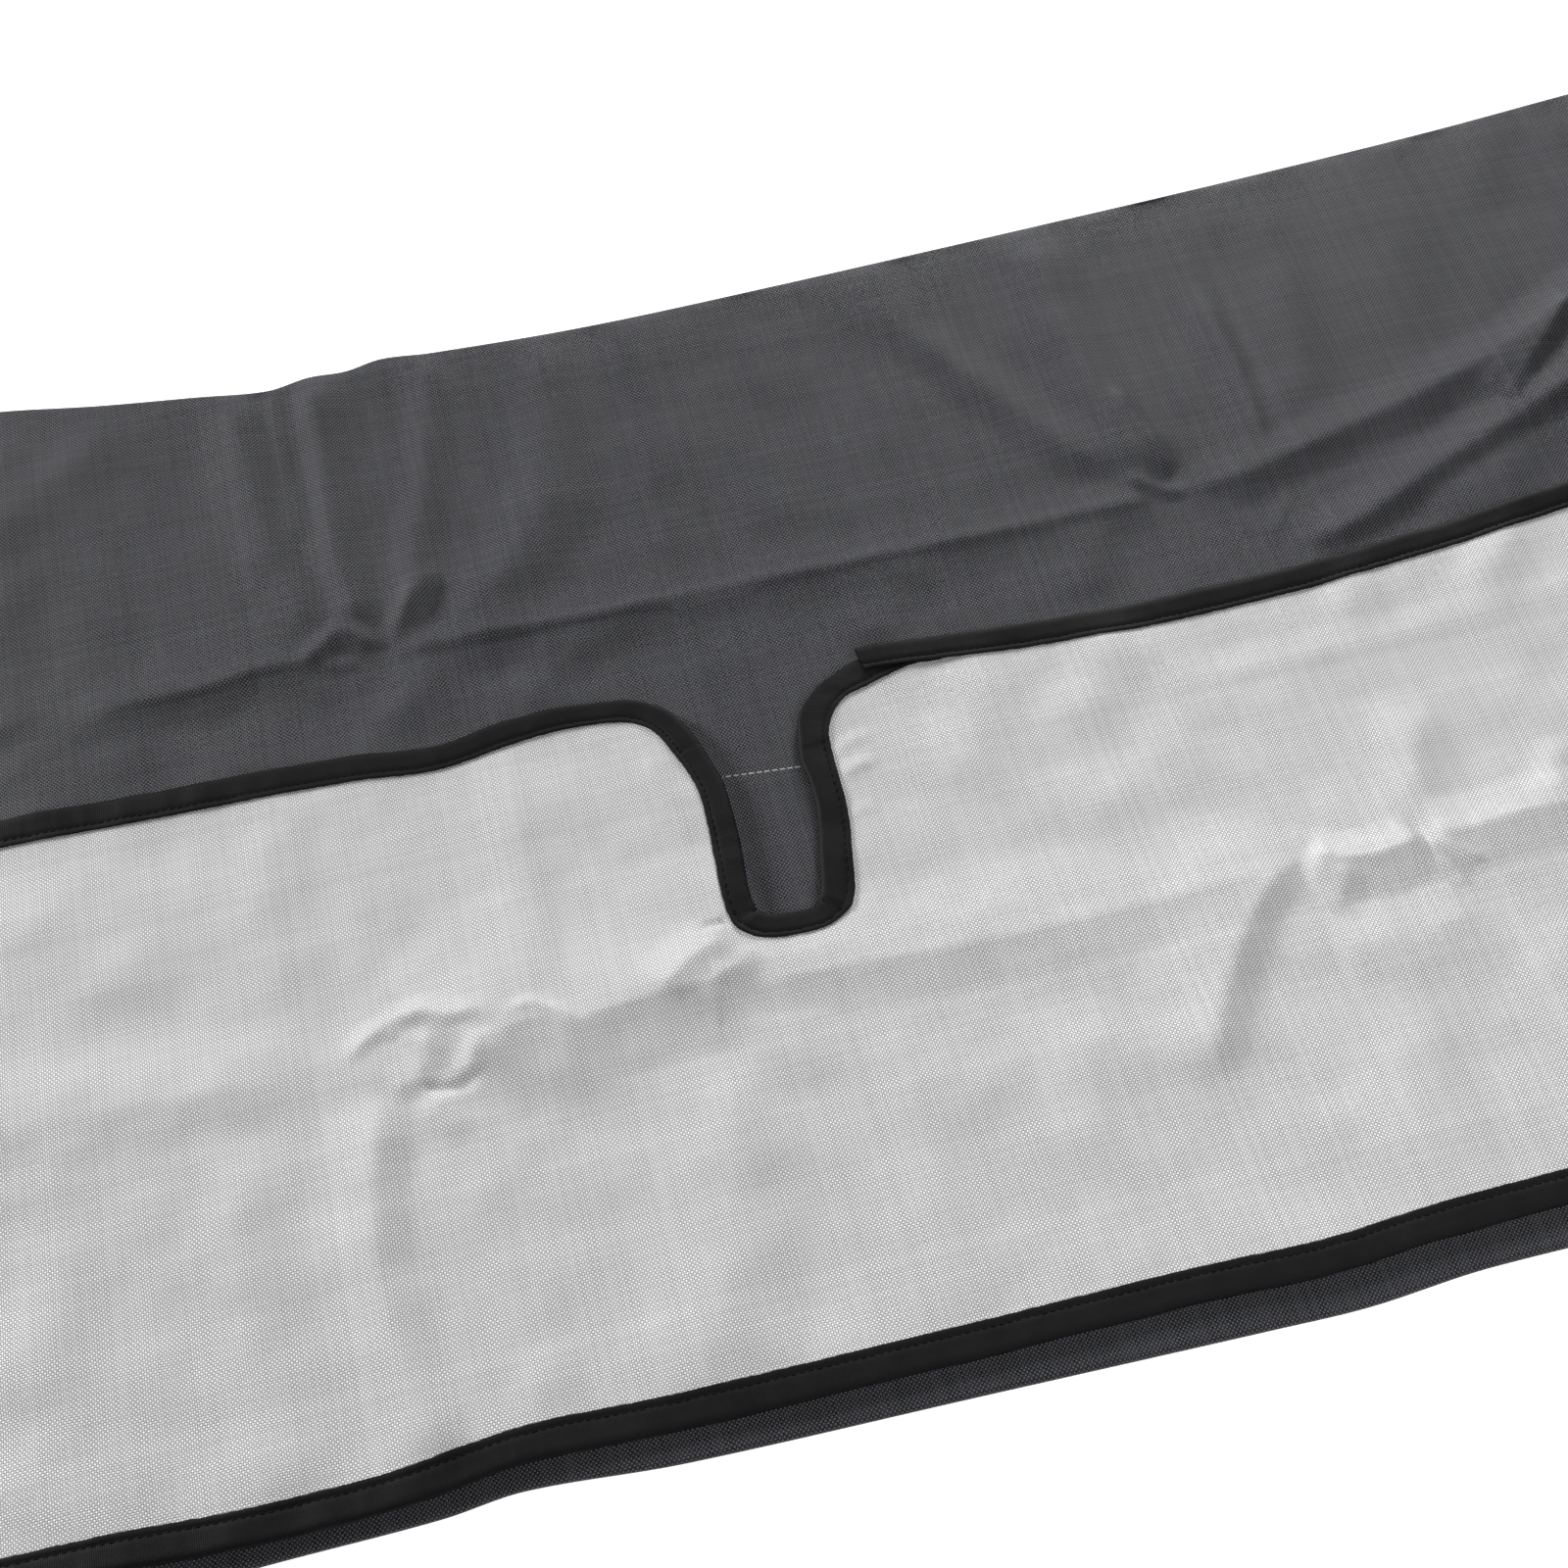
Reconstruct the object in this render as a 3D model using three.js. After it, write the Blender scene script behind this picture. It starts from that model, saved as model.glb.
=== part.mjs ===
// An outdoor chair cover of coated Oxford cloth, folded flat and lying on a surface.
// Its dark outer side is up, its long sides are rolled under, and a bound tail with a
// U-shaped notch is folded back over it with the silver inner side up.
// Millimetres, +Z up. Lengths in the tables run from a datum near the middle of the notch,
// x along the cover and y across it. The group moves that datum so that the part's origin
// is at the centre of its footprint, on the surface it lies on.
import * as THREE from 'three';

// Driving sizes
const CLOTH = 1.2;
const LENGTH = 872;
const BODY_RIGHT = 470;
const SIDE_ROLL_RADIUS = 1.7;
const TAIL_GAP_RADIUS = 1.6;
const TOP_RETURN = 118;
const BOTTOM_RETURN = 152;
const TAIL_END = 400;
const DATUM_SHIFT = { x: -34, y: -10.86 };

const TAPE = {
  width: 12,
  thickness: 0.8,
  clearance: 0.35,
  backGap: 0.4,
  round: 1,
  start: 2,
  seam: 0.5,
};

const BODY_LEFT = BODY_RIGHT - LENGTH + TAIL_GAP_RADIUS + CLOTH / 2;
const RETURN_Z = CLOTH / 2;
const ROLL_TOP_Z = RETURN_Z + 2 * SIDE_ROLL_RADIUS;
const ROLL_REACH = SIDE_ROLL_RADIUS + CLOTH / 2;
const TAIL_LIFT = 2 * TAIL_GAP_RADIUS;
const CLOTH_INSET = TAPE.thickness + TAPE.backGap;
const BAND_INSET = TAPE.width + 1.5;

// Outlines, as y at each x
const TOP_EDGE = [
  { x: -402, y: 262 },
  { x: -340, y: 259 },
  { x: -282, y: 253 },
  { x: -241, y: 246 },
  { x: -200, y: 240.5 },
  { x: -170, y: 236.5 },
  { x: -152, y: 239.5 },
  { x: -136, y: 239 },
  { x: -120, y: 242 },
  { x: -98, y: 240 },
  { x: -29, y: 238 },
  { x: 60, y: 240.5 },
  { x: 175, y: 245.4 },
  { x: 270, y: 250 },
  { x: 369, y: 256.2 },
  { x: 445, y: 263 },
  { x: 470, y: 265 },
];

const BOTTOM_EDGE = [
  { x: -402, y: -232 },
  { x: -300, y: -236 },
  { x: -230, y: -234.7 },
  { x: -173, y: -234.5 },
  { x: -145, y: -232.5 },
  { x: -92, y: -236.7 },
  { x: 7, y: -239.7 },
  { x: 110, y: -242.8 },
  { x: 145, y: -243.5 },
  { x: 190, y: -241 },
  { x: 300, y: -242.5 },
  { x: 380, y: -240 },
  { x: 470, y: -236 },
];

// The tail's upper edge runs into the notch and out again. Foot is the x at the tail's
// lower edge that the cloth's lines come down to, so that they fan out round the notch.
const TAIL_TOP_EDGE = [
  { x: -402, y: 56, foot: -402 },
  { x: -293, y: 54.7, foot: -293 },
  { x: -219, y: 52.3, foot: -219 },
  { x: -163, y: 50.5, foot: -163 },
  { x: -128, y: 46.6, foot: -130 },
  { x: -100, y: 51.2, foot: -106 },
  { x: -74, y: 51.8, foot: -90 },
  { x: -55, y: 49.3, foot: -81 },
  { x: -38, y: 41, foot: -73 },
  { x: -27.5, y: 22, foot: -64 },
  { x: -23, y: 0, foot: -56 },
  { x: -22.8, y: -24, foot: -49 },
  { x: -24, y: -46, foot: -42 },
  { x: -19, y: -54, foot: -33 },
  { x: -8, y: -55.6, foot: -12 },
  { x: 0.5, y: -52.5, foot: 8 },
  { x: 4.5, y: -37, foot: 19 },
  { x: 9, y: -12, foot: 28 },
  { x: 8.6, y: 12, foot: 36 },
  { x: 15.5, y: 30, foot: 44 },
  { x: 33, y: 42, foot: 52 },
  { x: 56, y: 48.2, foot: 66 },
  { x: 92, y: 45.6, foot: 94 },
  { x: 140, y: 43.3, foot: 140 },
  { x: 216, y: 43.7, foot: 216 },
  { x: 282, y: 48.5, foot: 282 },
  { x: 350, y: 55.8, foot: 350 },
  { x: 400, y: 60, foot: 400 },
];

const TAIL_LOW_EDGE = [
  { x: -402, y: -222 },
  { x: -280, y: -225.5 },
  { x: -230, y: -228.5 },
  { x: -185, y: -228.5 },
  { x: -142, y: -224.8 },
  { x: -87, y: -227 },
  { x: 14, y: -228.4 },
  { x: 90, y: -229 },
  { x: 136, y: -230.5 },
  { x: 173, y: -228.5 },
  { x: 228, y: -227.5 },
  { x: 320, y: -226 },
  { x: 400, y: -222 },
];

// Lines that the body's mesh follows: the long crease across the dark side, and the curved
// fold below it at the right
const CREASE_LINE = [
  { x: -402, y: 97 },
  { x: -215, y: 95 },
  { x: -190, y: 98 },
  { x: -137, y: 94 },
  { x: -50, y: 91 },
  { x: 100, y: 90 },
  { x: 200, y: 91 },
  { x: 250, y: 100 },
  { x: 300, y: 112 },
  { x: 350, y: 127 },
  { x: 392, y: 146 },
  { x: 470, y: 184 },
];

const CURVED_FOLD_LINE = [
  { x: -402, y: 68 },
  { x: 190, y: 66 },
  { x: 240, y: 58 },
  { x: 300, y: 75 },
  { x: 340, y: 89 },
  { x: 372, y: 103 },
  { x: 470, y: 150 },
];

// Beneath the tail the body's first mesh lines step down, clear of the curved fold
const HIDDEN_STEP = { drop: 12, run: 40 };

// Folds pressed into the cloth. Each is a soft ridge along a path; left and right are its
// widths on either side of the path, and fade is how far it takes to die out at each end.
const BODY_FOLDS = {
  creaseWest: {
    rise: 2.2, left: 28, right: 9, fade: 20,
    path: [[-420, 97], [-290, 97], [-215, 95], [-190, 98], [-160, 94]],
  },
  creaseMiddle: {
    rise: 2, left: 18, right: 8, fade: 20,
    path: [[-140, 94], [-100, 95], [-60, 91], [100, 90], [180, 92]],
  },
  creaseEast: {
    rise: 3.6, left: 22, right: 11, fade: 30,
    path: [[185, 90], [225, 92.5], [250, 100], [300, 112], [350, 127], [392, 146], [490, 194]],
  },
  curvedFold: {
    rise: 4, left: 16, right: 10, fade: 36,
    path: [[226, 57], [262, 61], [300, 75], [340, 89], [372, 103], [490, 160]],
  },
  westRay1: {
    rise: 2.2, left: 12, right: 12, fade: 30,
    path: [[-150, 103], [-162, 112], [-182, 145], [-200, 225]],
  },
  westRay2: {
    rise: 1.8, left: 9, right: 9, fade: 26,
    path: [[-141, 98], [-152, 114], [-158, 150], [-160, 236]],
  },
  westRay3: {
    rise: 2, left: 10, right: 10, fade: 26,
    path: [[-137, 98], [-126, 122], [-121, 165], [-122, 240]],
  },
  westRay4: {
    rise: 1.8, left: 13, right: 13, fade: 30,
    path: [[-128, 97], [-101, 116], [-86, 150], [-72, 232]],
  },
  eastRay1: {
    rise: 2, left: 14, right: 14, fade: 30,
    path: [[192, 95], [181, 112], [170, 150], [156, 236]],
  },
  eastRay2: {
    rise: 1.6, left: 12, right: 12, fade: 34,
    path: [[178, 102], [150, 138], [128, 172], [96, 228]],
  },
  eastRay3: {
    rise: 1.4, left: 14, right: 9, fade: 26,
    path: [[232, 98], [238, 130], [234, 176]],
  },
};

const TAIL_FOLDS = {
  creaseWest: {
    rise: 1.8, left: 20, right: 20, fade: 26,
    path: [[-396, -68], [-290, -71], [-230, -75], [-178, -83]],
  },
  creaseMiddle: {
    rise: 2.8, left: 18, right: 28, fade: 34,
    path: [[-136, -82], [-110, -78], [-60, -79], [0, -80], [60, -84], [160, -90]],
  },
  creaseEast: {
    rise: 2.2, left: 16, right: 12, fade: 24,
    path: [[222, -82], [250, -84], [285, -86], [392, -88]],
  },
  westDrop1: {
    rise: 2.8, left: 14, right: 15, fade: 34,
    path: [[-164, -84], [-186, -108], [-192, -142], [-186, -182], [-176, -222]],
  },
  westDrop2: {
    rise: 2.6, left: 18, right: 20, fade: 34,
    path: [[-50, -100], [-60, -142], [-78, -184], [-100, -222]],
  },
  westRise: {
    rise: 2, left: 16, right: 14, fade: 30,
    path: [[-134, -66], [-123, -30], [-116, 8], [-116, 46]],
  },
  eastDiagonal: {
    rise: 3.4, left: 12, right: 22, fade: 26,
    path: [[192, -76], [165, -88], [149, -105], [134, -128], [118, -162]],
  },
  eastHubUp: {
    rise: 2.4, left: 14, right: 16, fade: 26,
    path: [[222, -84], [232, -62], [246, -36], [262, -4]],
  },
  eastHubDown: {
    rise: 2.2, left: 12, right: 12, fade: 20,
    path: [[228, -84], [208, -92], [186, -104]],
  },
  eastDrop: {
    rise: 2.2, left: 24, right: 24, fade: 40,
    path: [[250, -110], [232, -150], [222, -190], [226, -222]],
  },
  shoulderSweep: {
    rise: 1.6, left: 22, right: 22, fade: 40,
    path: [[180, 40], [140, 6], [104, -30], [70, -58]],
  },
};

// Where small folds gather, so the mesh is closer there
const GATHER_POINTS = [-150, 195];
const COLUMN_STEP = { wide: 30, close: 12, reach: 70 };
const EDGE_STEP = { wide: 26, close: 7, reach: 60 };
const NOTCH_MIDDLE = { x: -7, y: 0 };
const CURVE_FINENESS = 4000;

const ROLL_STEPS = 4;
const TURN_STEPS = 4;
const RETURN_STEPS = 2;
const UPPER_ROWS = [0.22, 0.48, 0.72, 0.9, 1];
const BELOW_CREASE_ROW = 0.4;
const BELOW_CURVED_ROW = 0.5;
const TAIL_CREASE_ROWS = [-80, -93, -107, -132, -168];
const TAIL_UPPER_ROWS = [0.36, 0.7];

// Just right of the notch, one tape ends square on top of the other, whose wider end shows
const SEAM_X = 40;
const SEAM_ABOVE_Y = 38;
const OVERLAP = { width: 16, run: 36 };

// Looks of the cloth and of the tape
const clothMaterial = new THREE.MeshStandardMaterial({ color: 0x5b5e68, roughness: 0.78, metalness: 0 });
const tapeMaterial = new THREE.MeshStandardMaterial({ color: 0x121214, roughness: 0.7, metalness: 0 });

const clamp01 = (value) => Math.min(1, Math.max(0, value));
const smooth = (value) => value * value * (3 - 2 * value);
const mix = (from, to, share) => from + (to - from) * share;

// y at x, on a smooth line through the rows of a table
function lineAt(rows, x) {
  let index = 0;
  while (index < rows.length - 2 && rows[index + 1].x < x) {
    index += 1;
  }
  const before = rows[Math.max(index - 1, 0)];
  const from = rows[index];
  const to = rows[index + 1];
  const after = rows[Math.min(index + 2, rows.length - 1)];
  const span = to.x - from.x;
  const share = clamp01((x - from.x) / span);
  const slopeFrom = (to.y - before.y) / (to.x - before.x);
  const slopeTo = (after.y - from.y) / (after.x - from.x);
  const square = share * share;
  const cube = square * share;
  return (
    (2 * cube - 3 * square + 1) * from.y
    + (cube - 2 * square + share) * span * slopeFrom
    + (3 * square - 2 * cube) * to.y
    + (cube - square) * span * slopeTo
  );
}

// Height of one fold over the point (x, y)
function foldHeight(fold, x, y) {
  let best = Infinity;
  let side = 0;
  let walked = 0;
  let place = 0;
  for (let i = 0; i < fold.path.length - 1; i += 1) {
    const [fromX, fromY] = fold.path[i];
    const [toX, toY] = fold.path[i + 1];
    const alongX = toX - fromX;
    const alongY = toY - fromY;
    const length = Math.hypot(alongX, alongY);
    const share = clamp01(((x - fromX) * alongX + (y - fromY) * alongY) / (length * length));
    const awayX = x - (fromX + alongX * share);
    const awayY = y - (fromY + alongY * share);
    const distance = Math.hypot(awayX, awayY);
    if (distance < best) {
      best = distance;
      side = alongX * awayY - alongY * awayX;
      place = walked + length * share;
    }
    walked += length;
  }
  const width = side > 0 ? fold.left : fold.right;
  const profile = smooth(clamp01(1 - best / width));
  const ends = smooth(clamp01(place / fold.fade)) * smooth(clamp01((walked - place) / fold.fade));
  return fold.rise * profile * ends;
}

function foldsHeight(folds, x, y) {
  return Object.values(folds).reduce((sum, fold) => sum + foldHeight(fold, x, y), 0);
}

// The body's top layer hangs from its two rolled sides, rests on the returns below it and
// sags between them.
const SAG = { overReturn: 2.6, middle: 1.35, sideRun: 60, innerRun: 45 };

function bodySag(x, y) {
  const fromTop = lineAt(TOP_EDGE, x) - ROLL_REACH - y;
  const fromBottom = y - lineAt(BOTTOM_EDGE, x) - ROLL_REACH;
  const side = Math.min(fromTop, fromBottom);
  const pastReturn = Math.min(fromTop - TOP_RETURN, fromBottom - BOTTOM_RETURN);
  const onReturn = mix(ROLL_TOP_Z, SAG.overReturn, smooth(clamp01(side / SAG.sideRun)));
  return mix(onReturn, SAG.middle, smooth(clamp01(pastReturn / SAG.innerRun)));
}

// Body folds fade out beneath the tail
const TAIL_COVERS = { from: 58, to: 44 };

function bodyHeight(x, y) {
  const open = smooth(clamp01((y - TAIL_COVERS.to) / (TAIL_COVERS.from - TAIL_COVERS.to)));
  return bodySag(x, y) + open * foldsHeight(BODY_FOLDS, x, y);
}

const tailHeight = (x, y) => bodyHeight(x, y) + TAIL_LIFT + foldsHeight(TAIL_FOLDS, x, y);

// Places along a line, close together near the gather points and wide apart elsewhere
function stepAt(x, step) {
  const near = Math.min(...GATHER_POINTS.map((point) => Math.abs(x - point)));
  return mix(step.close, step.wide, smooth(clamp01(near / step.reach)));
}

function bodyColumns() {
  const columns = [BODY_LEFT];
  while (columns.at(-1) + COLUMN_STEP.wide < BODY_RIGHT) {
    const x = columns.at(-1);
    columns.push(x + stepAt(x, COLUMN_STEP));
  }
  columns.push(BODY_RIGHT);
  return columns;
}

// The tail's upper edge, with each place's inward direction and foot
function tailStations() {
  const points = TAIL_TOP_EDGE.map((row) => new THREE.Vector3(row.x, row.y, row.foot));
  const curve = new THREE.CatmullRomCurve3(points, false, 'centripetal');
  const stations = [];
  let walked = 0;
  let wanted = 0;
  let last = curve.getPoint(0);
  for (let i = 1; i <= CURVE_FINENESS; i += 1) {
    const place = curve.getPoint(i / CURVE_FINENESS);
    const moved = Math.hypot(place.x - last.x, place.y - last.y);
    const inside = last.x >= BODY_LEFT && last.x <= TAIL_END - BAND_INSET;
    if (inside && walked >= wanted) {
      stations.push(stationAt(last, place));
      const toNotch = Math.hypot(last.x - NOTCH_MIDDLE.x, last.y - NOTCH_MIDDLE.y);
      const nearNotch = smooth(clamp01((toNotch - EDGE_STEP.reach) / EDGE_STEP.reach));
      const gathered = stepAt(last.x, COLUMN_STEP);
      wanted = walked + Math.min(mix(EDGE_STEP.close, EDGE_STEP.wide, nearNotch), gathered);
    }
    walked += moved;
    last = place;
  }
  stations[0] = squareStation(BODY_LEFT);
  stations[stations.length - 1] = squareStation(TAIL_END - BAND_INSET);
  stations.push(squareStation(TAIL_END - CLOTH_INSET));
  return stations;
}

function stationAt(place, next) {
  const heading = Math.atan2(next.y - place.y, next.x - place.x);
  return { x: place.x, y: place.y, foot: place.z, inX: Math.sin(heading), inY: -Math.cos(heading) };
}

function squareStation(x) {
  return { x, y: lineAt(TAIL_TOP_EDGE, x), foot: x, inX: 0, inY: -1 };
}

// The tail's points down one line of its cloth, from the upper edge to the lower edge
function tailLine(station) {
  const low = lineAt(TAIL_LOW_EDGE, station.foot);
  const inward = (distance) => ({
    x: station.x + station.inX * distance,
    y: station.y + station.inY * distance,
  });
  const top = inward(BAND_INSET);
  const bottom = { x: station.foot, y: low + BAND_INSET };
  const between = (y) => ({ x: mix(top.x, bottom.x, (top.y - y) / (top.y - bottom.y)), y });
  const upper = TAIL_UPPER_ROWS.map((share) => between(mix(top.y, TAIL_CREASE_ROWS[0], share)));
  const creased = TAIL_CREASE_ROWS.map(between);
  const lowest = { x: station.foot, y: low + CLOTH_INSET };
  return [inward(CLOTH_INSET), top, ...upper, ...creased, bottom, lowest];
}

// The body's points down one line of its cloth: return, roll, top layer, roll, return
function bodyLine(x, tailRows) {
  const top = lineAt(TOP_EDGE, x) - ROLL_REACH;
  const bottom = lineAt(BOTTOM_EDGE, x) + ROLL_REACH;
  const crease = lineAt(CREASE_LINE, x);
  const curved = lineAt(CURVED_FOLD_LINE, x);
  const rollMiddle = RETURN_Z + SIDE_ROLL_RADIUS;
  const drop = HIDDEN_STEP.drop * smooth(clamp01((x - BODY_LEFT) / HIDDEN_STEP.run));
  const line = [];
  const add = (y, z) => line.push(new THREE.Vector3(x, y, z));
  const addOnTop = (y) => add(y, bodyHeight(x, y));
  for (let i = 0; i < RETURN_STEPS; i += 1) {
    add(top - TOP_RETURN * (1 - i / RETURN_STEPS), RETURN_Z);
  }
  for (let i = 0; i < ROLL_STEPS; i += 1) {
    const angle = (Math.PI * i) / ROLL_STEPS;
    add(top + SIDE_ROLL_RADIUS * Math.sin(angle), rollMiddle - SIDE_ROLL_RADIUS * Math.cos(angle));
  }
  addOnTop(top);
  UPPER_ROWS.forEach((share) => addOnTop(mix(top, crease, share)));
  addOnTop(mix(crease, curved, BELOW_CREASE_ROW));
  addOnTop(curved);
  addOnTop(mix(curved, tailRows[0] - drop, BELOW_CURVED_ROW));
  addOnTop(tailRows[0] - drop);
  addOnTop(tailRows[1] - drop);
  tailRows.slice(2).forEach(addOnTop);
  addOnTop(bottom);
  for (let i = 1; i <= ROLL_STEPS; i += 1) {
    const angle = (Math.PI * i) / ROLL_STEPS;
    add(bottom - SIDE_ROLL_RADIUS * Math.sin(angle), rollMiddle + SIDE_ROLL_RADIUS * Math.cos(angle));
  }
  for (let i = 1; i <= RETURN_STEPS; i += 1) {
    add(bottom + (BOTTOM_RETURN * i) / RETURN_STEPS, RETURN_Z);
  }
  return line;
}

// Half circle in which one of the tail's rows turns back over the body
function turnPoint(below, above, angle) {
  const middle = below.clone().lerp(above, 0.5);
  const radius = (above.z - below.z) / 2;
  middle.x -= radius * Math.sin(angle);
  middle.z -= radius * Math.cos(angle);
  return middle;
}

// A thin sheet: points on its middle surface, and quads of point numbers whose winding
// faces its outer side
class Sheet {
  constructor() {
    this.points = [];
    this.quads = [];
  }

  addLine(line) {
    return line.map((point) => this.points.push(point) - 1);
  }

  joinLines(from, to) {
    for (let i = 0; i < from.length - 1; i += 1) {
      this.quads.push([from[i], from[i + 1], to[i + 1], to[i]]);
    }
  }

  normals() {
    const normals = this.points.map(() => new THREE.Vector3());
    for (const quad of this.quads) {
      const [a, b, c, d] = quad.map((number) => this.points[number]);
      const across = c.clone().sub(a);
      const other = d.clone().sub(b);
      const normal = across.cross(other).normalize();
      quad.forEach((number) => normals[number].add(normal));
    }
    return normals.map((normal) => normal.normalize());
  }

  rimEdges() {
    const edges = new Map();
    for (const quad of this.quads) {
      quad.forEach((from, i) => {
        const to = quad[(i + 1) % quad.length];
        if (!edges.delete(`${to} ${from}`)) {
          edges.set(`${from} ${to}`, [from, to]);
        }
      });
    }
    return [...edges.values()];
  }

  solid(thickness) {
    const normals = this.normals();
    const count = this.points.length;
    const offset = (side) => this.points.map((point, i) => (
      point.clone().addScaledVector(normals[i], (side * thickness) / 2)
    ));
    const triangles = [];
    for (const [a, b, c, d] of this.quads) {
      triangles.push(a, b, c, a, c, d);
      triangles.push(count + a, count + c, count + b, count + a, count + d, count + c);
    }
    for (const [from, to] of this.rimEdges()) {
      triangles.push(to, from, count + from, to, count + from, count + to);
    }
    return solidGeometry([...offset(1), ...offset(-1)], triangles);
  }
}

function solidGeometry(points, triangles) {
  const geometry = new THREE.BufferGeometry().setFromPoints(points);
  geometry.setIndex(triangles);
  geometry.computeVertexNormals();
  return geometry;
}

// The cloth, one sheet: body, turn at its left end, and tail
const raise = (points, height) => points.map(({ x, y }) => new THREE.Vector3(x, y, height(x, y)));

function buildCloth(tailLines) {
  const sheet = new Sheet();
  const tailRows = tailLines[0].map((point) => point.y);
  const bodyLines = bodyColumns().map((x) => bodyLine(x, tailRows));
  const bodyNumbers = bodyLines.map((line) => sheet.addLine(line));
  for (let i = 1; i < bodyNumbers.length; i += 1) {
    sheet.joinLines(bodyNumbers[i - 1], bodyNumbers[i]);
  }
  const firstRow = bodyLines[0].findIndex((point) => point.z > RETURN_Z && point.y === tailRows[0]);
  const attached = bodyNumbers[0].slice(firstRow, firstRow + tailRows.length);
  let previous = attached;
  for (let i = 1; i < TURN_STEPS; i += 1) {
    const angle = (Math.PI * i) / TURN_STEPS;
    const line = attached.map((number, row) => turnPoint(sheet.points[number], tailLines[0][row], angle));
    const numbers = sheet.addLine(line);
    sheet.joinLines(numbers, previous);
    previous = numbers;
  }
  for (const line of tailLines) {
    const numbers = sheet.addLine(line);
    sheet.joinLines(numbers, previous);
    previous = numbers;
  }
  return sheet.solid(CLOTH);
}

// Binding tape folded over an edge. Its section is a narrow U: each corner is a distance in
// from the fold and a height over the middle of the cloth.
function tapeSection(width) {
  const inside = CLOTH / 2 + TAPE.clearance;
  const outside = inside + TAPE.thickness;
  const back = TAPE.thickness;
  return [
    new THREE.Vector2(width, outside),
    new THREE.Vector2(TAPE.round, outside),
    new THREE.Vector2(0, outside - TAPE.round),
    new THREE.Vector2(0, TAPE.round - outside),
    new THREE.Vector2(TAPE.round, -outside),
    new THREE.Vector2(TAPE.width, -outside),
    new THREE.Vector2(TAPE.width, -inside),
    new THREE.Vector2(back, -inside),
    new THREE.Vector2(back, inside),
    new THREE.Vector2(width, inside),
  ];
}

// A place on an edge holds the cloth's edge point and the point of its next row inward
function placeSection(place, width) {
  const inward = place.inner.clone().sub(place.edge).divideScalar(BAND_INSET - CLOTH_INSET);
  return tapeSection(width).map(({ x, y }) => {
    const point = place.edge.clone().addScaledVector(inward, x - CLOTH_INSET);
    point.z += y;
    return point;
  });
}

function nudge(place, neighbour, distance) {
  const share = distance / place.edge.distanceTo(neighbour.edge);
  return {
    edge: place.edge.clone().lerp(neighbour.edge, share),
    inner: place.inner.clone().lerp(neighbour.inner, share),
  };
}

function buildTape(places, widthAt = () => TAPE.width) {
  const outline = tapeSection(TAPE.width);
  const corners = outline.length;
  const sections = places.map((place) => placeSection(place, widthAt(place.edge.x)));
  const triangles = [];
  for (let i = 0; i < sections.length - 1; i += 1) {
    for (let corner = 0; corner < corners; corner += 1) {
      const next = (corner + 1) % corners;
      const a = i * corners + corner;
      const b = i * corners + next;
      triangles.push(a, a + corners, b + corners, a, b + corners, b);
    }
  }
  const last = (sections.length - 1) * corners;
  for (const [a, b, c] of THREE.ShapeUtils.triangulateShape(outline, [])) {
    triangles.push(a, b, c);
    triangles.push(last + a, last + c, last + b);
  }
  return solidGeometry(sections.flat(), triangles);
}

// Places along an edge of the tail, from the rows of its lines
const edgePlaces = (lines, edgeRow, innerRow) => lines.map((line) => ({
  edge: line.at(edgeRow),
  inner: line.at(innerRow),
}));

const tailLines = tailStations().map((station) => raise(tailLine(station), tailHeight));
const sideLines = tailLines.slice(0, -1);

const upperPlaces = edgePlaces(sideLines, 0, 1);
upperPlaces[0] = nudge(upperPlaces[0], upperPlaces[1], TAPE.start);
const seamIndex = upperPlaces.findIndex((place) => place.edge.x > SEAM_X && place.edge.y > SEAM_ABOVE_Y);
const seam = upperPlaces[seamIndex];
const notchPlaces = [
  ...upperPlaces.slice(0, seamIndex),
  nudge(seam, upperPlaces[seamIndex - 1], TAPE.seam / 2),
];
const rightPlaces = [
  nudge(seam, upperPlaces[seamIndex + 1], TAPE.seam / 2),
  ...upperPlaces.slice(seamIndex + 1),
];
const rightWidth = (x) => mix(OVERLAP.width, TAPE.width, smooth(clamp01((x - seam.edge.x) / OVERLAP.run)));

const lowerPlaces = edgePlaces(sideLines, -1, -2);
lowerPlaces[0] = nudge(lowerPlaces[0], lowerPlaces[1], TAPE.start);
lowerPlaces.reverse();

const endPlaces = tailLines.at(-1).map((edge, row) => ({ edge, inner: tailLines.at(-2)[row] }));
const endCount = endPlaces.length;
endPlaces[0] = nudge(endPlaces[0], endPlaces[1], -CLOTH_INSET);
endPlaces[endCount - 1] = nudge(endPlaces[endCount - 1], endPlaces[endCount - 2], -CLOTH_INSET);

const cover = new THREE.Group();

function addPiece(name, geometry, material) {
  const piece = new THREE.Mesh(geometry, material);
  piece.name = name;
  cover.add(piece);
}

addPiece('cover_cloth', buildCloth(tailLines), clothMaterial);
addPiece('binding_notch', buildTape(notchPlaces), tapeMaterial.clone());
addPiece('binding_right', buildTape(rightPlaces, rightWidth), tapeMaterial.clone());
addPiece('binding_lower', buildTape(lowerPlaces), tapeMaterial.clone());
addPiece('binding_end', buildTape(endPlaces), tapeMaterial.clone());

cover.position.set(DATUM_SHIFT.x, DATUM_SHIFT.y, 0);

export default cover;
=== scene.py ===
"""A folded outdoor chair cover: coated Oxford cloth, dark outside and silver inside, black binding tape.

Tables and folds are in millimetres from a datum near the middle of the notch, x along the
cover and y across it. Meshes are in metres in the part's frame.
"""

import math

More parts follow.
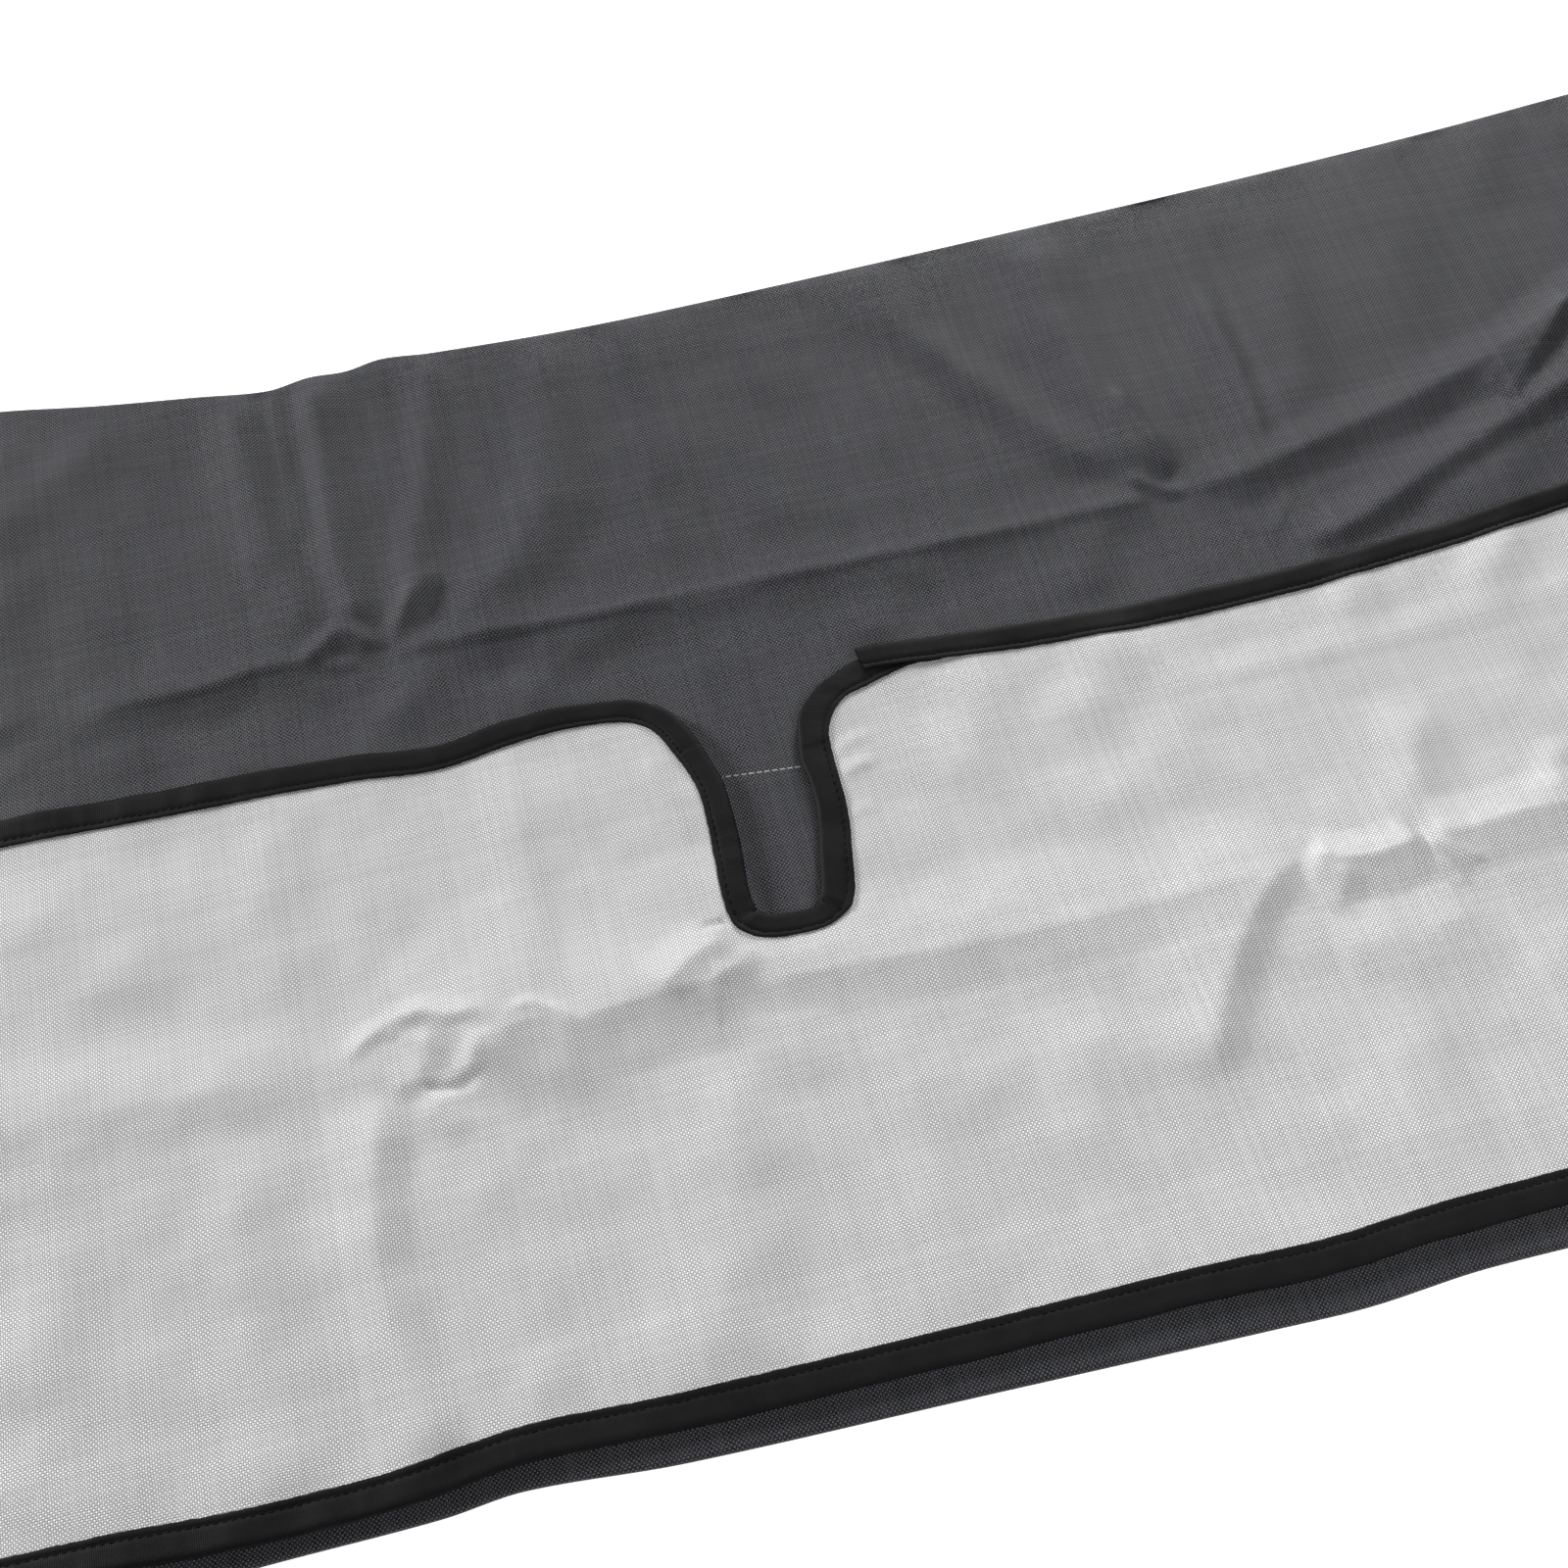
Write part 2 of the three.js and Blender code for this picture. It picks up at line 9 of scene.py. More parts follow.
import bpy
import numpy as np
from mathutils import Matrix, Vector


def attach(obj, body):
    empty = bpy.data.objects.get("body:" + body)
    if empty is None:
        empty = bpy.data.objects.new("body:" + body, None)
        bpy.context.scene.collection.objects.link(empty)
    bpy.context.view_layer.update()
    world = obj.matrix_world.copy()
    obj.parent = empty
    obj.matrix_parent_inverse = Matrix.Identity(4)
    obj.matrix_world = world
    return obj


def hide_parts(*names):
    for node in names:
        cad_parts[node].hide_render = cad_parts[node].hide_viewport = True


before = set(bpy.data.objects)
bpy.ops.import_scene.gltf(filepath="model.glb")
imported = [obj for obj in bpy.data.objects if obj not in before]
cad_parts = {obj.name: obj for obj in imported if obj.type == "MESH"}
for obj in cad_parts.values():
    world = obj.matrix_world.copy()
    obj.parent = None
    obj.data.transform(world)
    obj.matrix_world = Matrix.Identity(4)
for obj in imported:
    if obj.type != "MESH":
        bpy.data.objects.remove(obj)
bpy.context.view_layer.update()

MM = 0.001
DATUM = np.array([-34.0, -10.86, 0.0])

# Sizes shared with the solids
BODY_RIGHT = 470.0
LENGTH = 872.0
SIDE_ROLL_RADIUS = 1.7
TAIL_GAP_RADIUS = 1.6
SOLID_CLOTH = 1.2
TOP_RETURN = 118.0
BOTTOM_RETURN = 152.0
TAIL_END = 400.0
BODY_LEFT = BODY_RIGHT - LENGTH + TAIL_GAP_RADIUS + SOLID_CLOTH / 2
RETURN_Z = SOLID_CLOTH / 2
ROLL_TOP_Z = RETURN_Z + 2 * SIDE_ROLL_RADIUS
ROLL_REACH = SIDE_ROLL_RADIUS + SOLID_CLOTH / 2
TAIL_LIFT = 2 * TAIL_GAP_RADIUS
TAPE_WIDTH = 12.0
CLOTH_INSET = 1.2
BAND_INSET = 13.5

# The cloth as it is seen, and its thread
CLOTH = 0.7
THREAD_PITCH = 0.8

# The body's upper layer: its height where it lies on the returns and where it sinks between
# them, and the widths over which it comes down to each
ON_RETURN_Z = 2.6
MIDDLE_Z = 1.35
ROLL_EASE = 60
RETURN_EASE = 45

# The body's folds come in across this stretch of y, near the tail's upper edge
FOLDS_START = 44
FOLDS_EASE = 14

TOP_EDGE = np.array([
    (-402, 262), (-340, 259), (-282, 253), (-241, 246), (-200, 240.5), (-170, 236.5),
    (-152, 239.5), (-136, 239), (-120, 242), (-98, 240), (-29, 238), (60, 240.5),
    (175, 245.4), (270, 250), (369, 256.2), (445, 263), (470, 265),
], float)

BOTTOM_EDGE = np.array([
    (-402, -232), (-300, -236), (-230, -234.7), (-173, -234.5), (-145, -232.5), (-92, -236.7),
    (7, -239.7), (110, -242.8), (145, -243.5), (190, -241), (300, -242.5), (380, -240), (470, -236),
], float)

# x, y, and the x at the lower edge that the cloth's line comes down to
TAIL_TOP_EDGE = np.array([
    (-402, 56, -402), (-293, 54.7, -293), (-219, 52.3, -219), (-163, 50.5, -164),
    (-128, 46.6, -134), (-100, 51.2, -115), (-74, 51.8, -100), (-55, 49.3, -90), (-38, 41, -80),
    (-27.5, 22, -69), (-23, 0, -60), (-22.8, -24, -50), (-24, -46, -39), (-19, -54, -29),
    (-8, -55.6, -10), (0.5, -52.5, 9), (4.5, -37, 21), (9, -12, 33), (8.6, 12, 44),
    (15.5, 30, 54), (33, 42, 65), (56, 48.2, 79), (92, 45.6, 104), (140, 43.3, 144),
    (216, 43.7, 216), (282, 48.5, 282), (350, 55.8, 350), (400, 60, 400),
], float)

TAIL_LOW_EDGE = np.array([
    (-402, -222), (-280, -225.5), (-230, -228.5), (-185, -228.5), (-142, -224.8), (-87, -227),
    (14, -228.4), (90, -229), (136, -230.5), (173, -228.5), (228, -227.5), (320, -226), (400, -222),
], float)

CREASE_LINE = np.array([
    (-402, 97), (-215, 95), (-190, 98), (-137, 94), (-50, 91), (100, 90), (200, 91), (250, 100),
    (300, 112), (350, 127), (392, 146), (470, 184),
], float)

# Each fold is a soft ridge, or a valley where its rise is negative: rise, width on its left
# and on its right, fade at its ends, how straight its flanks are from 0 to 1, and its path
BODY_FOLDS = [
    # The long crease: a low ridge with a sharp line along it
    (2.0, 28, 16, 20, 0.7, [(-420, 97), (-290, 96.5), (-215, 95), (-190, 98), (-164, 97)]),
    (1.0, 9, 3.5, 34, 1.0, [(-262, 95.5), (-215, 95), (-190, 98), (-156, 96)]),
    (2.0, 17, 20, 16, 0.8, [(-142, 94), (-100, 93), (-50, 91), (100, 90), (186, 91)]),
    (0.9, 8, 3.5, 24, 1.0, [(-146, 95), (-100, 93), (-50, 91), (100, 90), (186, 91)]),
    # The two that curve up to the right
    (3.4, 16, 15, 26, 0.9, [
        (190, 91), (222, 94), (250, 100), (300, 112), (350, 127), (392, 146), (490, 194),
    ]),
    (3.4, 15, 9, 34, 0.9, [
        (226, 56), (250, 57), (262, 61), (280, 68), (300, 77), (320, 85), (340, 92), (372, 104), (490, 160),
    ]),
    (3.1, 12, 4, 12, 1.0, [(343, 101), (352, 110), (366, 122), (380, 134), (394, 150)]),
    (1.2, 7, 5, 14, 0.9, [(334, 104), (346, 116), (360, 128)]),
    # Rays of the western gather
    (3.0, 20, 13, 22, 0.6, [(-162, 106), (-169, 120), (-179, 150), (-182, 200), (-184, 242)]),
    (3.1, 14, 17, 20, 0.7, [(-144, 102), (-149, 120), (-153, 150), (-151, 200), (-150, 242)]),
    (3.0, 14, 11, 18, 0.7, [(-134, 99), (-125, 122), (-117, 150), (-105, 200), (-100, 242)]),
    (3.5, 22, 26, 24, 0.6, [(-118, 97), (-88, 118), (-64, 150), (-53, 200), (-50, 242)]),
    (1.4, 6, 7, 18, 0.6, [(-166, 150), (-168, 200), (-168, 242)]),
    (2.3, 6, 9, 8, 0.9, [(-176, 98), (-167, 102), (-158, 109), (-150, 104), (-141, 97)]),
    (2.0, 7, 9, 12, 0.8, [(-138, 96), (-131, 110), (-122, 122), (-108, 130)]),
    (1.1, 4, 4, 6, 0.8, [(-169, 93), (-160, 94), (-150, 92)]),
    # Rays of the eastern gather
    (3.9, 24, 26, 24, 0.6, [(192, 96), (180, 120), (172, 150), (168, 200), (173, 244)]),
    (3.3, 16, 17, 30, 0.7, [(172, 104), (157, 120), (137, 150), (116, 184), (98, 212)]),
    (2.3, 7, 7, 10, 0.9, [(194, 98), (190, 118), (180, 150)]),
    (2.6, 14, 8, 24, 0.8, [(226, 98), (236, 116), (238, 150), (236, 200)]),
    (1.6, 22, 20, 30, 0.3, [(250, 112), (268, 150), (276, 200), (272, 244)]),
    (1.7, 6, 5, 8, 0.9, [(172, 106), (181, 98), (190, 93), (200, 92)]),
    (-0.6, 6, 6, 8, 0.6, [(203, 92), (213, 80)]),
    (1.1, 4, 4, 6, 0.8, [(224, 62), (238, 82)]),
    (0.5, 8, 8, 12, 0.5, [(206, 88), (214, 72), (228, 60)]),
    # Below the crease
    (1.6, 42, 15, 20, 0.5, [(-236, 99), (-262, 87), (-304, 70)]),
    (1.2, 16, 15, 16, 0.4, [(-150, 58), (-132, 74), (-112, 84)]),
    (1.2, 15, 12, 14, 0.5, [(-96, 54), (-76, 72), (-52, 83)]),
    (1.5, 24, 18, 16, 0.4, [(40, 50), (58, 68), (80, 92)]),
    (1.1, 16, 16, 16, 0.4, [(128, 50), (146, 66), (152, 88)]),
    (1.2, 20, 18, 20, 0.4, [(286, 56), (312, 66), (352, 82)]),
    # Broad swells
    (3.5, 60, 95, 60, 0.1, [(-310, 110), (-300, 170), (-285, 250)]),
    (2.2, 20, 22, 30, 0.4, [(-310, 176), (-262, 206), (-222, 240)]),
    (1.9, 30, 26, 30, 0.3, [(104, 188), (98, 214), (78, 246)]),
    (1.8, 40, 50, 40, 0.1, [(300, 140), (322, 190), (330, 250)]),
    (1.6, 30, 40, 30, 0.1, [(-20, 130), (-8, 180), (-14, 240)]),
]

TAIL_FOLDS = [
    # The long crease
    (1.4, 26, 20, 26, 0.4, [(-396, -67), (-290, -69), (-230, -73), (-188, -80)]),
    (4.7, 56, 27, 18, 1.0, [
        (-141, -93), (-131, -85), (-122, -76), (-113, -74), (-106, -77), (-100, -81), (-90, -78),
        (-75, -77), (-45, -76), (-30, -80),
    ]),
    (2.4, 34, 18, 44, 0.8, [(-46, -77), (0, -82), (60, -85), (120, -85), (178, -84)]),
    (0.3, 4, 8, 14, 0.6, [(-44, -94), (-22, -97), (0, -99)]),
    (3.1, 16, 18, 10, 0.9, [(227, -83), (245, -85), (270, -83), (290, -84), (396, -88)]),
    # The western gather
    (1.4, 7, 5, 10, 0.9, [
        (-181, -75), (-172, -67), (-160, -62), (-150, -61), (-142, -66), (-133, -66), (-127, -73),
    ]),
    (1.3, 8, 14, 8, 0.8, [(-153, -66), (-150, -76), (-157, -87), (-169, -88)]),
    (-1.3, 4, 3.5, 6, 0.9, [(-157, -88), (-149, -92), (-141, -93), (-134, -88)]),
    (1.4, 7, 4, 5, 1.0, [(-140, -91), (-134, -82), (-129, -74)]),
    (1.2, 10, 10, 10, 0.5, [(-156, -91), (-150, -101), (-141, -113)]),
    (1.1, 4, 5, 5, 0.9, [(-121, -70), (-112, -68), (-103, -74), (-96, -80)]),
    (0.8, 4, 4, 5, 0.9, [(-166, -70), (-160, -66), (-156, -74)]),
    # Folds that drop from the crease
    (3.2, 12, 24, 20, 0.7, [
        (-169, -87), (-173, -102), (-176, -120), (-180, -150), (-175, -186), (-163, -224),
    ]),
    (1.6, 20, 24, 30, 0.4, [(-214, -92), (-224, -124), (-222, -170), (-210, -224)]),
    (1.3, 16, 16, 30, 0.4, [(-142, -112), (-140, -150), (-130, -190), (-132, -224)]),
    (2.9, 32, 34, 30, 0.4, [(-46, -100), (-52, -140), (-64, -180), (-82, -224)]),
    (1.7, 36, 28, 34, 0.3, [(18, -104), (12, -150), (4, -224)]),
    (1.6, 26, 24, 30, 0.3, [(94, -108), (80, -140), (62, -180)]),
    (1.7, 26, 30, 30, 0.3, [(-296, -120), (-288, -168), (-268, -224)]),
    # Up from the crease
    (1.9, 26, 15, 30, 0.5, [(-108, -66), (-104, -20), (-104, 42)]),
    (1.4, 20, 20, 30, 0.3, [(-190, -50), (-204, -10), (-190, 42)]),
    (1.7, 26, 24, 34, 0.2, [(-310, 20), (-270, -8), (-232, -40)]),
    (2.5, 14, 10, 8, 0.8, [(-67, -77), (-52, -66), (-37, -60)]),
    (1.3, 6, 6, 5, 0.9, [(-46, -75), (-35, -72), (-26, -66)]),
    (-1.0, 2.5, 2.5, 3, 0.8, [(-46, -54), (-34, -54)]),
    (1.0, 8, 8, 10, 0.5, [(-52, 24), (-44, 2), (-40, -20)]),
    # The eastern gather
    (4.1, 11, 34, 24, 0.9, [
        (184, -79), (172, -84), (162, -91), (152, -101), (143, -112), (133, -127), (122, -148), (117, -162),
    ]),
    (4.1, 13, 18, 7, 0.9, [(183, -79), (194, -85), (208, -87), (220, -85), (229, -83)]),
    (1.7, 10, 10, 7, 0.9, [(197, -86), (191, -96), (184, -106)]),
    (1.9, 24, 20, 14, 0.4, [(240, -114), (214, -123), (176, -120)]),
    (3.0, 18, 22, 28, 0.8, [(228, -82), (236, -56), (244, -39), (257, -25)]),
    (1.3, 3.5, 3.5, 5, 0.9, [(229, -84), (236, -90), (247, -99)]),
    (1.2, 3, 3, 5, 0.9, [(228, -85), (232, -94), (236, -107)]),
    (2.0, 10, 12, 10, 0.8, [(282, -84), (288, -70), (297, -54)]),
    (2.3, 32, 26, 34, 0.4, [(196, -132), (187, -172), (180, -224)]),
    (1.7, 26, 26, 30, 0.3, [(262, -120), (256, -170), (250, -224)]),
    # Right of the notch
    (0.7, 12, 9, 30, 0.6, [(150, 5), (230, 3), (330, 8), (400, 16)]),
    (1.7, 20, 22, 20, 0.4, [(110, -12), (134, 16), (150, 44)]),
    (1.4, 22, 22, 26, 0.3, [(56, -30), (76, 4), (96, 40)]),
    (1.6, 16, 18, 20, 0.4, [(226, 8), (244, 26), (252, 48)]),
    (1.6, 14, 16, 20, 0.5, [(284, 8), (306, 26), (330, 48)]),
    (1.4, 24, 22, 30, 0.3, [(96, -58), (128, -34), (170, -14)]),
    (0.7, 4, 4, 6, 0.8, [(20, 5), (28, 9), (40, 12)]),
    (0.9, 4, 4, 6, 0.8, [(20, -5), (28, -2), (38, 0)]),
    (0.6, 4, 4, 6, 0.8, [(19, -22), (26, -20), (34, -21)]),
]

# Ripples of the cloth between the folds: how many waves, their lengths, and the steepness of each
UNEVEN_WAVES = 36
UNEVEN_LENGTHS = (11.0, 60.0)
UNEVEN_SLOPE = 0.009

GATHER_POINTS = (-150.0, 195.0)
NOTCH_MIDDLE = (-7.0, 0.0)

# Spacing of the meshes' lines: wide apart, and close together near the gather points
BODY_GRID = {"wide": 3.3, "close": 1.7, "reach": 70}
TAIL_GRID = {"wide": 3.2, "close": 1.6, "reach": 70}
ROLL_STEPS = 8
TURN_STEPS = 12

# Rows of the body: in four spans down from the upper edge, of which the first gathers towards
# the crease, and as shares of each return's width
TOP_SPAN_ROWS, CREASE_SPAN_ROWS, COVERED_SPAN_ROWS, BOTTOM_SPAN_ROWS = 52, 28, 26, 12
TOP_SPAN_GATHER = 0.85
COVERED_BELOW = 22
TOP_RETURN_SHARES = (0, 0.03, 0.35, 0.68)
BOTTOM_RETURN_SHARES = (0.32, 0.66, 0.97, 1)

# Lines of the tail: their spacing near the notch and how far that reaches, the stretch at both
# ends where they turn square, and the rows near an edge, as insets from it
NOTCH_SPACING = 2.0
NOTCH_REACH = 50
SQUARED_WITHIN = 60
EDGE_INSETS = (CLOTH_INSET, 5, 9)
EDGE_FINENESS = 9000

# Rows of the tail, which gather near its crease, and how strongly its lines leave the edge
# squarely: this share of their length beside the notch, and all of it elsewhere
TAIL_GRID_ROWS = 112
TAIL_CREASE = -88.0
CREASE_REACH = 34.0
CREASE_GATHER = 1.6
LEAVING = 0.42

# Faces that meet at more than this angle show a sharp edge, in degrees
SHARP_ANGLE = 55

# The white floor, in metres
FLOOR_SIZE = 8
FLOOR_Z = -0.0002


def clamp01(value):
    return np.clip(value, 0.0, 1.0)


def smooth(value):
    return value * value * (3 - 2 * value)


def mix(start, end, share):
    return start + (end - start) * share


def line_at(rows, x):
    """y at each x, on a smooth line through the rows of a table."""
    x = np.asarray(x, float)
    xs, ys = rows[:, 0], rows[:, 1]
    last = len(xs) - 1
    here = np.clip(np.searchsorted(xs, x, side="left") - 1, 0, last - 1)
    before, after = np.maximum(here - 1, 0), np.minimum(here + 2, last)
    span = xs[here + 1] - xs[here]
    share = clamp01((x - xs[here]) / span)
    slope_from = (ys[here + 1] - ys[before]) / (xs[here + 1] - xs[before])
    slope_to = (ys[after] - ys[here]) / (xs[after] - xs[here])
    square, cube = share**2, share**3
    return (
        (2 * cube - 3 * square + 1) * ys[here]
        + (cube - 2 * square + share) * span * slope_from
        + (3 * square - 2 * cube) * ys[here + 1]
        + (cube - square) * span * slope_to
    )


def fold_height(fold, x, y):
    """Height of one fold over the points (x, y)."""
    rise, left, right, fade, straight, path = fold
    best = np.full(np.shape(x), 1e9)
    side = np.zeros(np.shape(x))
    place = np.zeros(np.shape(x))
    walked = 0.0
    for (from_x, from_y), (to_x, to_y) in zip(path[:-1], path[1:]):
        along_x, along_y = to_x - from_x, to_y - from_y
        length = math.hypot(along_x, along_y)
        share = clamp01(((x - from_x) * along_x + (y - from_y) * along_y) / length**2)
        away_x = x - (from_x + along_x * share)
        away_y = y - (from_y + along_y * share)
        distance = np.hypot(away_x, away_y)
        nearer = distance < best
        best = np.where(nearer, distance, best)
        side = np.where(nearer, along_x * away_y - along_y * away_x, side)
        place = np.where(nearer, walked + length * share, place)
        walked += length
    width = np.where(side > 0, left, right)
    inner = clamp01(1 - best / width)
    profile = mix(smooth(inner), inner**1.25, straight)
    ends = smooth(clamp01(place / fade)) * smooth(clamp01((walked - place) / fade))
    return rise * profile * ends


def folds_height(folds, x, y):
    return sum(fold_height(fold, x, y) for fold in folds)


def unevenness(x, y, seed):
    """Small random swells and ripples."""
    random = np.random.default_rng(seed)
    height = np.zeros(np.shape(x))
    for _ in range(UNEVEN_WAVES):
        number = 2 * math.pi / random.uniform(*UNEVEN_LENGTHS)
        turn, start = random.uniform(0, 2 * math.pi, 2)
        height += UNEVEN_SLOPE / number * np.sin(number * (x * math.cos(turn) + y * math.sin(turn)) + start)
    return height


def body_sag(x, y):
    """Height of the body's upper layer without its folds: on the rolled sides, and sunk between them."""
    from_top = line_at(TOP_EDGE, x) - ROLL_REACH - y
    from_bottom = y - line_at(BOTTOM_EDGE, x) - ROLL_REACH
    side = np.minimum(from_top, from_bottom)
    past_return = np.minimum(from_top - TOP_RETURN, from_bottom - BOTTOM_RETURN)
    on_return = mix(ROLL_TOP_Z, ON_RETURN_Z, smooth(clamp01(side / ROLL_EASE)))
    return mix(on_return, MIDDLE_Z, smooth(clamp01(past_return / RETURN_EASE)))


def body_height(x, y):
    shown = smooth(clamp01((y - FOLDS_START) / FOLDS_EASE))
    return body_sag(x, y) + shown * (folds_height(BODY_FOLDS, x, y) + unevenness(x, y, 5))


def tail_height(x, y):
    return body_height(x, y) + TAIL_LIFT + folds_height(TAIL_FOLDS, x, y) + unevenness(x, y, 8)


def step_at(x, wide, close, reach):
    near = min(abs(x - point) for point in GATHER_POINTS)
    return mix(close, wide, smooth(min(1.0, near / reach)))


def body_columns():
    columns = [BODY_LEFT]
    while columns[-1] + BODY_GRID["wide"] < BODY_RIGHT:
        columns.append(columns[-1] + step_at(columns[-1], **BODY_GRID))
    columns.append(BODY_RIGHT)
    return np.array(columns)


def body_rows(columns):
    """y and z down each line of the body's cloth: return, roll, top layer, roll, return."""
    top = line_at(TOP_EDGE, columns) - ROLL_REACH
    bottom = line_at(BOTTOM_EDGE, columns) + ROLL_REACH
    crease = line_at(CREASE_LINE, columns)
    covered = line_at(TAIL_TOP_EDGE, columns) - COVERED_BELOW
    uncovered = line_at(TAIL_LOW_EDGE, columns) + COVERED_BELOW
    middle = RETURN_Z + SIDE_ROLL_RADIUS
    ys, zs = [], []

    def add(y, z):
        ys.append(y)
        zs.append(z + 0 * columns)

    for share in TOP_RETURN_SHARES:
        add(top - TOP_RETURN * (1 - share), RETURN_Z)
    for angle in np.arange(ROLL_STEPS) * math.pi / ROLL_STEPS:
        add(top + SIDE_ROLL_RADIUS * math.sin(angle), middle - SIDE_ROLL_RADIUS * math.cos(angle))
    first_top = len(ys)
    spans = [
        (top, crease, TOP_SPAN_ROWS, TOP_SPAN_GATHER),
        (crease, covered, CREASE_SPAN_ROWS, 1),
        (covered, uncovered, COVERED_SPAN_ROWS, 1),
        (uncovered, bottom, BOTTOM_SPAN_ROWS, 1),
    ]
    for start, end, count, gather in spans:
        for share in np.linspace(0, 1, count + 1)[:-1]:
            y = mix(start, end, share**gather)
            add(y, body_height(columns, y))
    add(bottom, body_height(columns, bottom))
    last_top = len(ys) - 1
    for angle in np.arange(1, ROLL_STEPS + 1) * math.pi / ROLL_STEPS:
        add(bottom - SIDE_ROLL_RADIUS * math.sin(angle), middle + SIDE_ROLL_RADIUS * math.cos(angle))
    for share in BOTTOM_RETURN_SHARES:
        add(bottom + BOTTOM_RETURN * share, RETURN_Z)
    return np.array(ys), np.array(zs), first_top, last_top


def smooth_line(rows, count):
    """Points on a centripetal curve through the rows, and how far along its first two columns each lies."""
    ends = np.vstack([2 * rows[0] - rows[1], rows, 2 * rows[-1] - rows[-2]])
    share = np.linspace(0, len(rows) - 1, count)
    here = np.minimum(share.astype(int), len(rows) - 2)
    t = (share - here)[:, None]
    p0, p1, p2, p3 = (ends[here + i] for i in range(4))
    d0, d1, d2 = (
        np.sqrt(np.linalg.norm(b - a, axis=1))[:, None] for a, b in ((p0, p1), (p1, p2), (p2, p3))
    )
    m1 = ((p1 - p0) / d0 - (p2 - p0) / (d0 + d1) + (p2 - p1) / d1) * d1
    m2 = ((p2 - p1) / d1 - (p3 - p1) / (d1 + d2) + (p3 - p2) / d2) * d1
    points = p1 + m1 * t + (3 * (p2 - p1) - 2 * m1 - m2) * t**2 + (2 * (p1 - p2) + m1 + m2) * t**3
    moved = np.linalg.norm(np.diff(points[:, :2], axis=0), axis=1)
    return points, np.concatenate([[0], np.cumsum(moved)])


def tail_stations():
    """x, y, foot and inward direction at the head of each line of the tail's cloth."""
    points, walked = smooth_line(TAIL_TOP_EDGE, EDGE_FINENESS)
    rows = []
    wanted = 0.0
    for i in range(len(points) - 1):
        x, y, foot = points[i]
        if BODY_LEFT <= x <= TAIL_END - BAND_INSET and walked[i] >= wanted:
            to_end = min(x - BODY_LEFT, TAIL_END - BAND_INSET - x)
            heading = math.atan2(points[i + 1, 1] - y, points[i + 1, 0] - x)
            heading = heading * smooth(min(1.0, to_end / SQUARED_WITHIN))
            rows.append((x, y, foot, math.sin(heading), -math.cos(heading)))
            from_notch = math.hypot(x - NOTCH_MIDDLE[0], y - NOTCH_MIDDLE[1]) / NOTCH_REACH
            past_notch = smooth(min(1.0, max(0.0, from_notch - 1)))
            step = mix(NOTCH_SPACING, TAIL_GRID["wide"], past_notch)
            wanted = walked[i] + min(step, step_at(x, **TAIL_GRID))
    rows[0] = (BODY_LEFT, float(line_at(TAIL_TOP_EDGE, BODY_LEFT)), BODY_LEFT, 0.0, -1.0)
    for inset in (BAND_INSET, *reversed(EDGE_INSETS)):
        x = TAIL_END - inset
        rows.append((x, float(line_at(TAIL_TOP_EDGE, x)), x, 0.0, -1.0))
    return np.array(rows)


def tail_rows(stations):
    """x and y down each line of the tail's cloth, which leaves the edge squarely and bends to its foot."""
    x, y, foot, in_x, in_y = stations.T
    low = line_at(TAIL_LOW_EDGE, foot)
    foot_y = low + BAND_INSET
    drop = np.hypot(foot - x, foot_y - y)
    leave = drop * mix(LEAVING, 1.0, clamp01(-in_y) ** 2)

    def point_at(t):
        start, turn, end = 2 * t**3 - 3 * t**2 + 1, t**3 - 2 * t**2 + t, 3 * t**2 - 2 * t**3
        arrive = t**3 - t**2
        return (
            start * x + turn * leave * in_x + end * foot,
            start * y + turn * leave * in_y + end * foot_y - arrive * drop,
        )

    shares = [inset / leave for inset in EDGE_INSETS]
    first = BAND_INSET / leave
    steps = np.linspace(0, 1, 201)[:, None]
    near_crease = np.exp(-(((point_at(mix(first, 1, steps))[1] - TAIL_CREASE) / CREASE_REACH) ** 2))
    walked = np.cumsum(1 + CREASE_GATHER * near_crease, axis=0)
    walked = (walked - walked[0]) / (walked[-1] - walked[0])
    even = np.linspace(0, 1, TAIL_GRID_ROWS)
    gathered = np.array([np.interp(even, column, steps[:, 0]) for column in walked.T]).T
    shares += [mix(first, 1, share) for share in gathered]
    xs, ys = map(list, zip(*[point_at(t) for t in shares]))
    for inset in reversed(EDGE_INSETS):
        xs.append(foot)
        ys.append(low + inset)
    return np.array(xs), np.array(ys)


def row_normals(grid):
    """Unit normals of a grid of points whose rows run towards -y and columns towards +x: up if level."""
    down = np.gradient(grid, axis=0)
    along = np.gradient(grid, axis=1)
    normals = np.cross(down, along)
    return normals / np.linalg.norm(normals, axis=2, keepdims=True)


def grid_quads(rows, columns, start=0, flip=False):
    number = start + np.arange(rows * columns).reshape(rows, columns)
    quads = np.stack([number[:-1, :-1], number[1:, :-1], number[1:, 1:], number[:-1, 1:]], axis=2)
    quads = quads.reshape(-1, 4)
    return quads[:, ::-1] if flip else quads


def rim_quads(rows, columns):
    """Quads that close a sheet between its two faces, all round its rim."""
    upper = np.arange(rows * columns).reshape(rows, columns)
    lower = upper + rows * columns
    rim = np.concatenate([upper[:, 0], upper[-1, 1:], upper[-2::-1, -1], upper[0, -2:0:-1]])
    under = np.concatenate([lower[:, 0], lower[-1, 1:], lower[-2::-1, -1], lower[0, -2:0:-1]])
    return np.stack([rim, under, np.roll(under, -1), np.roll(rim, -1)], axis=1)


